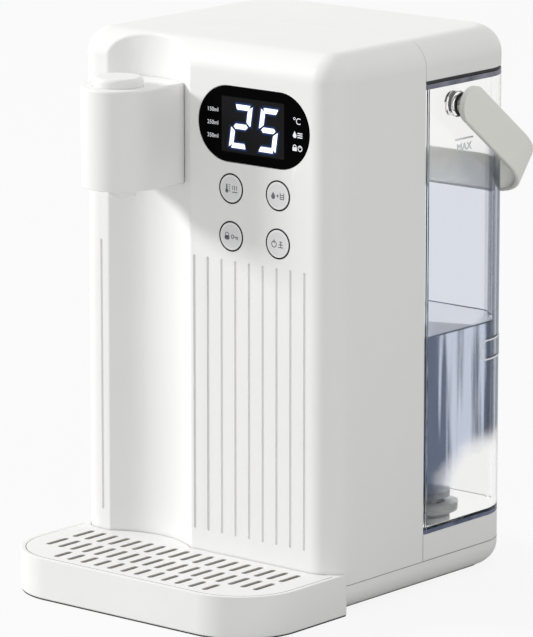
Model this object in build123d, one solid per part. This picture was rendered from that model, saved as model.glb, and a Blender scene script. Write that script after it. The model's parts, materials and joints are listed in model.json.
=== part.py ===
import os
from math import acos, atan2, cos, degrees, hypot, radians, sin

from build123d import *

# Cabinet, all sizes in millimetres
body_width = 179.5      # across the side walls
body_height = 300.0     # floor to crown
panel_depth = 77.0      # front panel back to the tank seam
tank_depth = 83.5       # tank seam back to the rear face
wall = 2.5              # moulded walls
front_corner = 15.5     # upright edges of the front panel
rear_corner = 27.0      # upright edges at the back of the tank
crown = 15.0            # rounding along the top edges

# Clearances
fit_gap = 0.3           # between pieces that slide or drop in
rest_gap = 0.1          # between faces of two bodies that rest on each other
run_gap = 0.06          # radial play of a shaft in its hole
push_gap = 0.05         # radial play of a pushed-on hose or plug
seam_gap = 0.6          # shadow line between cabinet and tank

# Levels
foot_height = 1.0       # rubber pads under the base pan
pan_height = 15.2       # base pan, up to the lower edge of the housing
pan_round = 12.5        # rounding of the pan's lower edge
seat_height = 14.8      # tank seat on the base pan
lid_height = 21.6       # lid, down from the crown
seal_height = 1.6       # gasket between the lid and the rim of the tank

# Alcove behind the spout
alcove_side = 51.75     # axis from the left side wall
alcove_width = 58.3
alcove_depth = 9.6

# Grooves of the front panel
groove_right = 2.95     # first groove from the alcove's right edge
groove_left = 5.25      # single groove from the alcove's left edge
groove_side = 16.0      # least distance of the last groove from the side wall
groove_pitch = 9.5
groove_width = 1.6
groove_depth = 0.8
groove_low = 34.5
groove_drop = 115.0     # upper ends below the crown

# Spout head
head_width = 43.2
head_reach = 43.3       # ahead of the front panel
head_drop = 78.3        # underside below the crown
head_height = 54.1
head_wall = 2.2
head_gap = 0.5          # shadow line against the alcove
neck_width = 24.0       # hollow neck through the alcove's wall
neck_height = 34.0
neck_rise = 7.0         # above the underside of the head
neck_inside = 5.0       # behind the alcove's wall
floor_thick = 2.0
chassis_drop = 20.0     # top of the chassis plate below the top of the head
chassis_thick = 2.0
chassis_leg = 2.0       # radius
chassis_spread = 14.5   # legs either side of the nozzle

# Nozzle and outlet chamber
nozzle_radius = 7.3
nozzle_drop = 6.4
nozzle_round = 1.3      # lower edge
nozzle_reach = 20.9     # axis ahead of the front panel
nozzle_neck = 5.8
water_bore = 2.0
chamber_radius = 10.0
chamber_height = 24.0
chamber_inlet = 16.5    # inlet above the floor of the head

# Dispense button
cap_radius = 13.6
cap_rise = 5.0
cap_sink = 7.0
cap_round = 2.4
cap_wall = 2.2
cap_reach = 24.2        # axis ahead of the front panel
cap_flange = 1.8
cap_flange_thick = 1.5
cap_travel = 3.0
cap_stem = 3.0
switch_length = 12.0
switch_width = 6.0
switch_height = 8.0
cap_spring_radius = 8.6
cap_spring_wire = 0.6
cap_spring_turns = 6

# Display
window_gap = 6.25       # alcove's right edge to the window
window_side = 16.35     # window to the right side wall
window_height = 40.5
window_drop = 41.7      # centre below the crown
window_thick = 1.7
window_proud = 0.2
window_ledge = 2.0
module_side = 15.0      # end of the window to the module
module_height = 31.0

# Panel buttons
key_radius = 7.4
key_gap = 0.5           # dark ring round each button
key_offset = 0.6        # centre of the button block right of the window's
key_drop = 89.1         # centre of the button block below the crown
key_pitch_x = 32.2
key_pitch_z = 25.7
key_proud = 0.3
key_thick = 3.0
key_flange = 1.2
key_flange_thick = 1.2
key_stem = 2.0
key_travel = 0.8
tact_size = 6.0
tact_height = 3.4

# Control board
board_thick = 1.6
board_back = 14.0       # front of the board behind the front panel
board_inset = 2.0       # inside the window's ends
board_below = 8.0       # below the flanges of the lower buttons
board_drop = 18.0       # upper edge below the crown
post_radius = 3.0
post_inset = 4.0

# Drip tray and grille
tray_reach = 69.2       # ahead of the front panel
tray_wrap = 11.0         # ears beside the front corners of the housing
tray_flare = 1.1        # beyond the side walls
tray_top = 23.1
tray_lift = 0.8         # tray pads
tray_corner = 37.0
tray_wall = 2.6
tray_floor = 2.2
tray_ledge = 2.2        # carries the grille
tray_gap = 0.4          # to the housing
tray_foot_radius = 6.0
tray_foot_side = 41.75   # centre from the side wall
tray_foot_front = 20.0
tab_width = 14.0
tab_thick = 3.0
tab_reach = 8.0         # into the base pan
tab_rise = 8.0          # above the underside of the tray
tab_right = 20.85       # first tab from the alcove's right edge
tab_side = 23.75        # second tab from the side wall
grille_thick = 2.0
grille_rim = 2.9        # outer edge of the tray to the grille
grille_back = 0.6       # grille to the housing
grille_wrap = 2.0
slot_width = 2.6
# Rows of slots: centre ahead of the front panel, length, pitch, least distance from the side wall
slot_rows = ((15.2, 16.0, 8.6, 16.0), (36.4, 16.0, 8.6, 16.0), (54.8, 12.5, 9.5, 37.0))

# Tank
tank_wall = 2.6
tank_floor = 3.0
tank_edge = 2.0         # upright front edges
pivot_ahead = 53.0      # handle pivot ahead of the rear face
pivot_drop = 37.5       # handle pivot below the crown
boss_radius = 6.8
boss_depth = 5.5
boss_skin = 2.0
plug_depth = 5.0        # lid's rim inside the tank
plug_gap = 0.8
plug_wall = 2.0
liner_thick = 2.5
liner_gap = 0.2
gasket_inset = 0.4

# Handle
strap_width = 21.3
strap_thick = 3.4
strap_round = 1.2
handle_reach = 82.6     # pivot to the outside of the crossbar
handle_bend = 36.0
handle_rest = 3.35       # lower edge of the hanging crossbar to the rear face
arm_gap = 7.0
stub_radius = 4.8
washer_radius = 6.4
washer_thick = 1.2

# Tank valve and docking socket
valve_side = 38.75      # axis from the right side wall
valve_back = 45.0       # behind the seam
collar_radius = 12.0
collar_flange = 16.0
collar_flange_thick = 2.5
collar_drop = 8.0
collar_bore = 8.0
web_thick = 2.0
web_rise = 5.0          # above the collar's lower end
web_hole = 1.6
web_hole_circle = 5.4
web_hole_count = 6
plunger_radius = 11.0
plunger_thick = 2.5
plunger_seal_in = 8.6
plunger_seal_thick = 1.0
valve_lift = 3.0
stem_radius = 2.5
stem_below = 1.0        # stem below the collar when docked
stem_flange = 5.0
stem_flange_thick = 1.2
valve_spring_radius = 4.0
valve_spring_wire = 0.4
valve_spring_turns = 3
socket_play = 1.2       # radial, filled by the socket's seal
socket_wall = 1.8
socket_flange = 2.5
socket_flange_thick = 2.0
socket_depth = 15.5
socket_floor = 2.5
push_pin = 2.0
seal_drop = 3.0
seal_tall = 3.0
spigot_radius = 2.75
spigot_wall = 1.0
spigot_length = 12.0
spigot_level = 21.0     # axis of the inlet hose above the floor
hose_wall = 1.4
hose_start = 1.5        # hose end to the shoulder of its spigot
hose_clear = 1.5        # hose to the hole it passes through

# Pump
volute_back = 13.0      # rear face ahead of the seam
volute_depth = 12.0
volute_radius = 14.0
volute_wall = 2.0
motor_radius = 12.5
motor_length = 28.0
motor_flange = 1.5
shaft_radius = 1.5
shaft_length = 16.0
impeller_play = 1.0
impeller_disc = 2.0
impeller_hub = 3.0
vane_count = 5
vane_thick = 1.2
vane_height = 4.0
pump_spigot = 5.5
cradle_width = 20.0
cradle_length = 20.0
cradle_cup = 3.0

# Heater
heater_radius = 14.0
heater_skin = 1.2
heater_aside = 41.0     # axis left of the pump's
heater_length = 120.0
heater_core = 5.0
heater_cap = 9.0
heater_cap_over = 0.6
heater_port = 9.0       # radius of the water ports
heater_spigot = 5.5
clamp_thick = 3.0
clamp_height = 10.0
clamp_width = 16.0
clamp_inset = 14.0      # from the ends of the tube
cutout_radius = 7.0
cutout_thick = 5.0
cutout_pitch = 28.0
probe_radius = 2.2
probe_length = 9.0
probe_side = 8.0
hose_bend = 12.5

# Power board
power_side = 11.25      # board to the inside of the left wall
power_gap = 1.0         # board to the heater's clamps
power_low = 30.0
power_height = 120.0
power_post = 8.0        # posts on the rear wall
power_margin = 4.0      # components from the sides of the board
relay_box = (22.0, 18.0, 20.0)
coil_box = (26.0, 22.0, 20.0)
sink_box = (16.0, 20.0, 30.0)
terminal_box = (26.0, 14.0, 10.0)
can_radius = 5.5
can_length = 22.0
part_gap = 3.0          # between components

# Feet, screws and cord gland
foot_radius = 8.0
foot_side = 34.0        # centre from the side wall
foot_end = 24.0         # centre from the front and rear
screw_margin = 1.5      # boss to the start of the pan's rounding
screw_head = 3.4
screw_head_tall = 2.2
screw_shank = 1.5
screw_sink = 6.0        # head's seat above the underside of the pan
screw_grip = 10.0
screw_boss = 5.0
screw_post_tall = 14.0
rib_thick = 1.6
gland_side = 44.75      # axis from the left side wall
gland_bore = 3.6
gland_neck = 9.0
gland_flange = 13.0
gland_flange_thick = 2.0
gland_tail = 10.0
gland_tail_radius = 5.6

# Derived levels and places
pan_bottom = foot_height
pan_top = pan_bottom + pan_height
pan_inside = pan_bottom + wall
seat_top = pan_top + seat_height
lid_bottom = body_height - lid_height
tank_bottom = seat_top + rest_gap
tank_inside = tank_bottom + tank_floor
tank_top = lid_bottom - seal_height - rest_gap
bar_reach = handle_reach - strap_thick
bar_turn = acos((pivot_ahead + handle_rest) / hypot(bar_reach, strap_width / 2))
handle_droop = degrees(bar_turn - atan2(strap_width / 2, bar_reach))
handle_back = tank_depth - pivot_ahead + handle_reach * cos(radians(handle_droop))
handle_back = handle_back + strap_width / 2 * sin(radians(handle_droop))
seam_y = (panel_depth + tray_reach - handle_back) / 2
front_y = seam_y - panel_depth
rear_y = seam_y + tank_depth
side_x = body_width / 2
alcove_x = alcove_side - side_x
alcove_right = alcove_x + alcove_width / 2
alcove_left = alcove_x - alcove_width / 2
alcove_radius = (alcove_width ** 2 / 4 + alcove_depth ** 2) / (2 * alcove_depth)
alcove_y = front_y + alcove_depth - alcove_radius
alcove_wall_y = front_y + alcove_depth
head_bottom = body_height - head_drop
head_top = head_bottom + head_height
head_radius = head_width / 2
head_y = front_y - head_reach + head_radius
head_inside = head_bottom + floor_thick
chassis_top = head_top - chassis_drop
nozzle_y = front_y - nozzle_reach
outlet_level = head_inside + chamber_inlet
cap_y = front_y - cap_reach
neck_low = head_bottom + neck_rise
neck_high = neck_low + neck_height
window_left = alcove_right + window_gap
window_width = side_x - window_side - window_left
window_x = window_left + window_width / 2
window_z = body_height - window_drop
window_back = front_y + window_thick - window_proud
key_x = window_x + key_offset
key_z = body_height - key_drop
board_width = window_width - 2 * board_inset
board_low = key_z - key_pitch_z / 2 - key_radius - key_gap - key_flange - board_below
board_high = body_height - board_drop
board_y = front_y + board_back
pivot_y = rear_y - pivot_ahead
pivot_height = body_height - pivot_drop
valve_x = side_x - valve_side
valve_y = seam_y + valve_back
collar_bottom = tank_bottom - collar_drop
web_bottom = collar_bottom + web_rise
plunger_bottom = tank_inside + collar_flange_thick + valve_lift + rest_gap + plunger_seal_thick
stem_bottom = collar_bottom - stem_below
socket_bore = collar_radius + socket_play
socket_radius = socket_bore + socket_wall
socket_inside = seat_top - socket_depth
spigot_bore = spigot_radius - spigot_wall
hose_bore = spigot_radius + push_gap
hose_radius = hose_bore + hose_wall
volute_rear = seam_y - volute_back
volute_front = volute_rear - volute_depth
pump_y = volute_rear - volute_depth / 2
motor_front = volute_front - motor_flange - motor_length
pump_outlet = spigot_level + volute_radius - volute_wall - spigot_radius
heater_x = valve_x - heater_aside
heater_low = pump_outlet + heater_cap / 2
heater_high = heater_low + heater_length
clamp_radius = heater_radius + push_gap + clamp_thick
rear_wall_y = seam_y - wall
power_y = rear_wall_y - power_post
power_left = wall - side_x + power_side
power_right = heater_x - clamp_radius - power_gap
power_high = power_low + power_height
key_places = [
    (key_x + sx * key_pitch_x / 2, key_z + sz * key_pitch_z / 2) for sz in (1, -1) for sx in (-1, 1)
]
gland_x = gland_side - side_x
gland_z = pan_top + gland_neck / 2
screw_x = side_x - pan_round - screw_boss - screw_margin
screw_places = [
    (sx * screw_x, y)
    for y in (front_y + front_corner, rear_y - rear_corner)
    for sx in (-1, 1)
]


def block(x0, x1, y0, y1, z0, z1):
    return Pos((x0 + x1) / 2, (y0 + y1) / 2, (z0 + z1) / 2) * Box(x1 - x0, y1 - y0, z1 - z0)


def upright(x, y, z0, z1, radius):
    return Pos(x, y, (z0 + z1) / 2) * Cylinder(radius, z1 - z0)


def along_y(x, z, y0, y1, radius):
    return Pos(x, (y0 + y1) / 2, z) * Rot(90, 0, 0) * Cylinder(radius, y1 - y0)


def along_x(y, z, x0, x1, radius):
    return Pos((x0 + x1) / 2, y, z) * Rot(0, 90, 0) * Cylinder(radius, x1 - x0)


def lift(sketch, z0, z1):
    return extrude(Pos(0, 0, z0) * sketch, z1 - z0)


def upright_slab(sketch, x, z, y0, y1):
    return Pos(x, y1, z) * Rot(90, 0, 0) * extrude(sketch, y1 - y0)


def group(solids):
    return Compound(children=list(solids))


def spring(x, y, z0, z1, radius, wire, turns):
    rise = z1 - z0 - 2 * wire
    path = Pos(x, y, z0 + wire) * Helix(rise / turns, rise, radius)
    section = Plane(path @ 0, z_dir=path % 0) * Circle(wire)
    return sweep(section, path)


def tube(points, bends, outer, bore):
    path = Polyline(*points) if not bends else FilletPolyline(*points, radius=bends)
    section = Plane(path @ 0, z_dir=path % 0) * (Circle(outer) - Circle(bore))
    return sweep(section, path)


# Footprints
def footprint(inset):
    width = body_width - 2 * inset
    depth = panel_depth + tank_depth - 2 * inset
    outline = Pos(0, (front_y + rear_y) / 2) * Rectangle(width, depth)
    outline = fillet(outline.vertices().sort_by(Axis.Y)[-2:], rear_corner - inset)
    return fillet(outline.vertices().sort_by(Axis.Y)[:2], front_corner - inset)


def alcove_disc(grow):
    return Pos(alcove_x, alcove_y) * Circle(alcove_radius + grow)


def alcove_cut(grow):
    return lift(alcove_disc(grow), 0, body_height + wall)


def rear_plan(gap, inset, edge=0.0):
    y0 = seam_y + gap + inset
    y1 = rear_y - inset
    outline = Pos(0, (y0 + y1) / 2) * Rectangle(body_width - 2 * inset, y1 - y0)
    outline = fillet(outline.vertices().sort_by(Axis.Y)[-2:], rear_corner - inset)
    if edge:
        outline = fillet(outline.vertices().sort_by(Axis.Y)[:2], edge)
    return outline


def housing_outline(grow):
    return footprint(-grow) - alcove_disc(-grow)


def tray_plan(inset, back):
    half = side_x + tray_flare - inset
    y0 = front_y - tray_reach + inset
    y1 = front_y + tray_wrap
    outline = Pos(0, (y0 + y1) / 2) * Rectangle(2 * half, y1 - y0)
    outline = fillet(outline.vertices().sort_by(Axis.Y)[:2], tray_corner - inset)
    return outline - housing_outline(back)


def grille_plan(grow):
    outline = tray_plan(grille_rim - grow, grille_back - grow)
    ear_y = front_y + grille_wrap + grow
    for side in (-1, 1):
        ear = Pos(side * side_x, ear_y + tray_wrap) * Rectangle(2 * front_corner, 2 * tray_wrap)
        outline = outline - ear
    return outline


def envelope(inset, z0):
    solid = lift(footprint(inset), z0, body_height - inset)
    return fillet(solid.edges().group_by(Axis.Z)[-1], crown - inset)


def behind(y):
    return block(-body_width, body_width, y, rear_y + body_width, 0, 2 * body_height)


def head_plan(inset):
    radius = head_radius - inset
    nose = Pos(alcove_x, head_y) * Circle(radius)
    back = alcove_wall_y + wall
    return nose + Pos(alcove_x, (head_y + back) / 2) * Rectangle(2 * radius, back - head_y)


# Cabinet shells
def front_housing():
    shell = envelope(0, pan_top) - behind(seam_y) - alcove_cut(0)
    shell = shell - (envelope(wall, pan_top - wall) - alcove_cut(wall))
    recess = SlotOverall(window_width + 2 * fit_gap, window_height + 2 * fit_gap)
    shell = shell - upright_slab(recess, window_x, window_z, front_y - wall, window_back)
    opening = SlotOverall(window_width - 2 * window_ledge, window_height - 2 * window_ledge)
    shell = shell - upright_slab(opening, window_x, window_z, front_y - wall, front_y + 2 * wall)
    for x, z in key_places:
        shell = shell - along_y(x, z, front_y - wall, front_y + 2 * wall, key_radius + key_gap)
    groove_high = body_height - groove_drop
    groove = SlotOverall(groove_high - groove_low, groove_width, rotation=90)
    first = alcove_right + groove_right
    steps = int((side_x - groove_side - first) / groove_pitch)
    places = [first + i * groove_pitch for i in range(steps + 1)]
    places.append(alcove_left - groove_left)
    z = (groove_high + groove_low) / 2
    for x in places:
        shell = shell - upright_slab(groove, x, z, front_y - wall, front_y + groove_depth)
    half = neck_width / 2 + fit_gap
    low = neck_low - fit_gap
    high = neck_high + fit_gap
    shell = shell - block(alcove_x - half, alcove_x + half, front_y, alcove_wall_y + 2 * wall, low, high)
    for x, z in board_posts():
        shell = shell + along_y(x, z, front_y + wall / 2, board_y, post_radius)
    for x, y in screw_places[:2]:
        shell = shell + screw_post(x, y, pan_top + screw_post_tall)
    return shell


def board_posts():
    half = board_width / 2 - post_inset
    levels = (board_low + post_inset, board_high - post_inset)
    return [(key_x + side * half, z) for z in levels for side in (-1, 1)]


def screw_post(x, y, top):
    side = 1 if x > 0 else -1
    edge = side * (side_x - wall / 2)
    post = upright(x, y, pan_top, top, screw_boss)
    post = post + block(min(x, edge), max(x, edge), y - rib_thick / 2, y + rib_thick / 2, pan_top, top)
    return post - upright(x, y, pan_top, pan_top + screw_grip + rest_gap, screw_shank + push_gap)


def rear_wall():
    panel = envelope(wall + rest_gap, pan_top) - behind(seam_y)
    panel = panel & behind(rear_wall_y)
    notch = hose_radius + hose_clear
    front = rear_wall_y - wall
    panel = panel - along_y(valve_x, spigot_level, front, seam_y + wall, notch)
    low = pan_top - wall
    panel = panel - block(valve_x - notch, valve_x + notch, front, seam_y + wall, low, spigot_level)
    for x, z in power_posts():
        panel = panel + along_y(x, z, power_y, rear_wall_y + wall / 2, post_radius)
    return panel


def power_posts():
    columns = (power_left + post_inset, power_right - post_inset)
    levels = (power_low + post_inset, power_high - post_inset)
    return [(x, z) for z in levels for x in columns]


def base_pan():
    pan = lift(footprint(0), pan_bottom, pan_top)
    pan = fillet(pan.edges().group_by(Axis.Z)[0], pan_round)
    hollow = lift(footprint(wall), pan_inside, pan_top + wall)
    hollow = fillet(hollow.edges().group_by(Axis.Z)[0], pan_round - wall)
    pan = pan - alcove_cut(0) - (hollow - alcove_cut(wall))
    for x, y in screw_places:
        pan = pan + upright(x, y, pan_bottom, pan_top, screw_boss)
    for x, y in screw_places:
        pan = pan - upright(x, y, pan_bottom - wall, pan_bottom + screw_sink, screw_head + fit_gap)
        pan = pan - upright(x, y, pan_bottom, pan_top + wall, screw_shank + fit_gap)
    for x in (alcove_right + tab_right, side_x - tab_side):
        pan = pan - tray_tab(x, fit_gap)
    return pan


def tank_seat():
    seat = lift(rear_plan(0, 0), pan_top, seat_top)
    inner = lift(rear_plan(0, wall), pan_top - wall, seat_top - wall)
    half = side_x - wall
    inner = inner + block(-half, half, seam_y - wall, valve_y, pan_top - wall, seat_top - wall)
    seat = seat - inner
    seat = seat - upright(valve_x, valve_y, pan_top, seat_top + wall, socket_radius + push_gap)
    for x, y in screw_places[2:]:
        seat = seat + screw_post(x, y, seat_top - wall / 2)
    half = gland_neck / 2
    low = pan_top - wall
    return seat - block(gland_x - half, gland_x + half, rear_y - 2 * wall, rear_y + wall, low, gland_z + half)


# Spout
def spout_head():
    reach = lift(alcove_disc(-head_gap), head_bottom, head_top)
    head = lift(head_plan(0), head_bottom, head_top) & reach
    room = lift(head_plan(head_wall), head_bottom - wall, head_top - head_wall) - behind(front_y)
    head = head - room
    back = alcove_wall_y + wall + neck_inside
    half = neck_width / 2
    head = head + block(alcove_x - half, alcove_x + half, front_y, back, neck_low, neck_high)
    half = half - head_wall
    low = neck_low + head_wall
    high = neck_high - head_wall
    head = head - block(alcove_x - half, alcove_x + half, front_y - wall, back + wall, low, high)
    return head - upright(alcove_x, cap_y, head_top - 2 * head_wall, head_top + wall, cap_radius + fit_gap)


def spout_floor():
    plate = lift(head_plan(head_wall + rest_gap), head_bottom, head_inside) - behind(front_y - rest_gap)
    return plate - upright(alcove_x, nozzle_y, head_bottom - wall, head_inside + wall, nozzle_neck + push_gap)


def spout_chassis():
    plate = lift(head_plan(head_wall + rest_gap), chassis_top - chassis_thick, chassis_top)
    plate = plate - behind(front_y - rest_gap)
    for side in (-1, 1):
        leg = upright(alcove_x + side * chassis_spread, nozzle_y, head_inside, chassis_top, chassis_leg)
        plate = plate + leg
    return plate


def nozzle():
    body = upright(alcove_x, nozzle_y, head_bottom - nozzle_drop, head_bottom, nozzle_radius)
    body = fillet(body.edges().group_by(Axis.Z)[0], nozzle_round)
    body = body + upright(alcove_x, nozzle_y, head_bottom, head_inside, nozzle_neck)
    return body - upright(alcove_x, nozzle_y, head_bottom - 2 * nozzle_drop, head_inside + wall, water_bore)


def outlet_chamber():
    body = upright(alcove_x, nozzle_y, head_inside, head_inside + chamber_height, chamber_radius)
    end = nozzle_y + chamber_radius + spigot_length
    body = body + along_y(alcove_x, outlet_level, nozzle_y, end, spigot_radius)
    body = body - along_y(alcove_x, outlet_level, nozzle_y, end + wall, spigot_bore)
    return body - upright(alcove_x, nozzle_y, head_inside - wall, outlet_level, water_bore)


def dispense_button():
    top = head_top + cap_rise
    cap = upright(alcove_x, cap_y, head_top - cap_sink, top, cap_radius)
    cap = fillet(cap.edges().group_by(Axis.Z)[-1], cap_round)
    flange_top = head_top - head_wall - rest_gap
    flange = upright(alcove_x, cap_y, flange_top - cap_flange_thick, flange_top, cap_radius + cap_flange)
    cap = cap + flange
    cap = cap - upright(alcove_x, cap_y, head_top - 2 * cap_sink, top - cap_wall, cap_radius - cap_wall)
    stem_end = chassis_top + switch_height + cap_travel + fit_gap
    return cap + upright(alcove_x, cap_y, stem_end, top - cap_wall / 2, cap_stem)


def dispense_switch():
    x0 = alcove_x - switch_length / 2
    y0 = cap_y - switch_width / 2
    return block(x0, x0 + switch_length, y0, y0 + switch_width, chassis_top, chassis_top + switch_height)


def dispense_spring():
    top = head_top + cap_rise - cap_wall - rest_gap
    low = chassis_top + rest_gap
    return spring(alcove_x, cap_y, low, top, cap_spring_radius, cap_spring_wire, cap_spring_turns)


# Display and panel buttons
def display_window():
    lens = SlotOverall(window_width, window_height)
    return upright_slab(lens, window_x, window_z, front_y - window_proud, window_back)


def display_module():
    half = window_width / 2 - module_side
    z0 = window_z - module_height / 2
    return block(window_x - half, window_x + half, front_y + wall, board_y, z0, z0 + module_height)


def panel_button(x, z):
    cap = along_y(x, z, front_y - key_proud, front_y + key_thick, key_radius)
    cap = fillet(cap.edges().group_by(Axis.Y)[0], key_proud)
    back = front_y + wall + rest_gap
    cap = cap + along_y(x, z, back, back + key_flange_thick, key_radius + key_gap + key_flange)
    end = board_y - tact_height - key_travel - rest_gap
    return cap + along_y(x, z, front_y + key_thick / 2, end, key_stem)


def control_board():
    x0 = key_x - board_width / 2
    return block(x0, x0 + board_width, board_y, board_y + board_thick, board_low, board_high)


def tact_switches():
    half = tact_size / 2
    return group(
        block(x - half, x + half, board_y - tact_height, board_y, z - half, z + half) for x, z in key_places
    )


# Drip tray
def tray_tab(x, grow):
    z0 = tray_lift + tab_rise - grow
    z1 = tray_lift + tab_rise + tab_thick + grow
    y0 = front_y - tray_gap - tray_wall / 2
    half = tab_width / 2 + grow
    return block(x - half, x + half, y0, front_y + tab_reach, z0, z1)


def drip_tray():
    tray = lift(tray_plan(0, tray_gap), tray_lift, tray_top)
    inset = tray_wall + tray_ledge
    tray = tray - lift(tray_plan(inset, tray_gap + tray_wall), tray_lift + tray_floor, tray_top + wall)
    pocket = tray_top - grille_thick - rest_gap
    tray = tray - lift(grille_plan(fit_gap), pocket, tray_top + wall)
    for x in (alcove_right + tab_right, side_x - tab_side):
        tray = tray + tray_tab(x, 0)
    return tray


def drip_grille():
    low = tray_top - grille_thick
    plate = lift(grille_plan(0), low, tray_top)
    slots = []
    for ahead, length, pitch, margin in slot_rows:
        slot = SlotOverall(length, slot_width, rotation=90)
        steps = int(2 * (side_x - margin) / pitch)
        for i in range(steps + 1):
            x = (i - steps / 2) * pitch
            slots.append(lift(Pos(x, front_y - ahead) * slot, low - wall, tray_top + wall))
    return plate - slots


def tray_feet():
    x = side_x - tray_foot_side
    y = front_y - tray_reach + tray_foot_front
    return group(upright(side * x, y, 0, tray_lift, tray_foot_radius) for side in (-1, 1))


# Tank
def tank():
    body = lift(rear_plan(seam_gap, 0, tank_edge), tank_bottom, tank_top)
    body = body - lift(rear_plan(seam_gap, tank_wall), tank_inside, tank_top + wall)
    inner = side_x - tank_wall - boss_depth
    for side in (-1, 1):
        ends = sorted((side * inner, side * (side_x - tank_wall / 2)))
        body = body + along_x(pivot_y, pivot_height, *ends, boss_radius)
        ends = sorted((side * (inner + boss_skin), side * (side_x + wall)))
        body = body - along_x(pivot_y, pivot_height, *ends, stub_radius + run_gap)
    return body - upright(valve_x, valve_y, tank_bottom - wall, tank_inside + wall, collar_radius + push_gap)


def pivot_washers():
    rings = []
    for side in (-1, 1):
        ends = sorted((side * side_x, side * (side_x + washer_thick)))
        ring = along_x(pivot_y, pivot_height, *ends, washer_radius)
        rings.append(ring - along_x(pivot_y, pivot_height, *ends, stub_radius + fit_gap))
    return group(rings)


def tank_handle():
    outside = side_x + arm_gap + strap_thick
    half = strap_width / 2
    outline = Pos(0, handle_reach / 2 - half) * Rectangle(2 * outside, handle_reach + 2 * half)
    inner = outside - strap_thick
    hollow = Pos(0, bar_reach / 2 - strap_width) * Rectangle(2 * inner, bar_reach + 2 * strap_width)
    outline = fillet(outline.vertices().sort_by(Axis.Y)[-2:], handle_bend)
    hollow = fillet(hollow.vertices().sort_by(Axis.Y)[-2:], handle_bend - strap_thick)
    strap = lift(outline - hollow, -half, half)
    sides = strap.faces().sort_by(Axis.Z)
    strap = fillet(sides[0].edges() + sides[-1].edges(), strap_round)
    profile = Circle(half) + Pos(0, handle_reach) * Rectangle(strap_width, 2 * handle_reach)
    profile = Rot(0, 0, -90) * profile
    strap = strap & (Rot(0, 90, 0) * Rot(0, 0, 90) * extrude(profile, 2 * outside, both=True))
    tip = side_x - tank_wall - boss_depth + boss_skin + fit_gap
    for side in (-1, 1):
        ends = sorted((side * tip, side * (inner + strap_thick / 2)))
        strap = strap + along_x(0, 0, *ends, stub_radius)
    return Pos(0, pivot_y, pivot_height) * Rot(-handle_droop, 0, 0) * strap


def lid_cover():
    shell = envelope(0, lid_bottom) & behind(seam_y + seam_gap)
    return shell - (envelope(wall, lid_bottom - wall) & behind(seam_y + seam_gap + wall))


def lid_liner():
    plate = lift(rear_plan(seam_gap, wall + liner_gap), lid_bottom, lid_bottom + liner_thick)
    inset = tank_wall + plug_gap
    rim = rear_plan(seam_gap, inset) - rear_plan(seam_gap, inset + plug_wall)
    return plate + lift(rim, lid_bottom - plug_depth, lid_bottom)


def lid_gasket():
    ring = rear_plan(seam_gap, gasket_inset) - rear_plan(seam_gap, tank_wall)
    return lift(ring, lid_bottom - seal_height, lid_bottom)


# Tank valve and docking socket
def valve_collar():
    body = upright(valve_x, valve_y, collar_bottom, tank_inside, collar_radius)
    body = body + upright(valve_x, valve_y, tank_inside, tank_inside + collar_flange_thick, collar_flange)
    body = body - upright(valve_x, valve_y, collar_bottom - wall, tank_inside + wall * 2, collar_bore)
    web = upright(valve_x, valve_y, web_bottom, web_bottom + web_thick, collar_bore)
    web = web - upright(valve_x, valve_y, web_bottom - wall, web_bottom + wall * 2, stem_radius + run_gap)
    for place in PolarLocations(web_hole_circle, web_hole_count):
        web = web - Pos(valve_x, valve_y, web_bottom) * place * Cylinder(web_hole, 4 * web_thick)
    return body + web


def valve_plunger():
    disc = upright(valve_x, valve_y, plunger_bottom, plunger_bottom + plunger_thick, plunger_radius)
    stem = upright(valve_x, valve_y, stem_bottom, plunger_bottom, stem_radius)
    return disc + stem + upright(valve_x, valve_y, stem_bottom, stem_bottom + stem_flange_thick, stem_flange)


def valve_seal():
    low = plunger_bottom - plunger_seal_thick
    ring = upright(valve_x, valve_y, low, plunger_bottom, plunger_radius - rest_gap)
    return ring - upright(valve_x, valve_y, low - wall, plunger_bottom + wall, plunger_seal_in)


def valve_spring():
    low = stem_bottom + stem_flange_thick + rest_gap
    high = web_bottom - rest_gap
    return spring(valve_x, valve_y, low, high, valve_spring_radius, valve_spring_wire, valve_spring_turns)


def docking_socket():
    low = socket_inside - socket_floor
    cup = upright(valve_x, valve_y, low, seat_top, socket_radius)
    under = seat_top - wall
    cup = cup + upright(valve_x, valve_y, under - socket_flange_thick, under, socket_radius + socket_flange)
    cup = cup - upright(valve_x, valve_y, socket_inside, seat_top + wall, socket_bore)
    end = valve_y - socket_radius - spigot_length
    cup = cup + along_y(valve_x, spigot_level, end, valve_y - socket_bore - socket_wall / 2, spigot_radius)
    bore_end = valve_y - socket_bore + socket_wall
    cup = cup - along_y(valve_x, spigot_level, end - wall, bore_end, spigot_bore)
    return cup + upright(valve_x, valve_y, low, stem_bottom - rest_gap, push_pin)


def socket_seal():
    high = seat_top - seal_drop
    ring = upright(valve_x, valve_y, high - seal_tall, high, socket_bore - push_gap)
    return ring - upright(valve_x, valve_y, high - 2 * seal_tall, high + wall, collar_radius + fit_gap)


# Pump and heater
def pump_volute():
    body = along_y(valve_x, spigot_level, volute_front, volute_rear, volute_radius)
    body = body + along_y(valve_x, spigot_level, volute_rear, volute_rear + pump_spigot, spigot_radius)
    end = valve_x - volute_radius - pump_spigot
    body = body + along_x(pump_y, pump_outlet, end, valve_x, spigot_radius)
    room = volute_radius - volute_wall
    body = body - along_y(valve_x, spigot_level, volute_front - wall, volute_rear - volute_wall, room)
    body = body - along_y(valve_x, spigot_level, volute_front, volute_rear + 2 * pump_spigot, spigot_bore)
    return body - along_x(pump_y, pump_outlet, end - wall, valve_x, spigot_bore)


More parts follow.
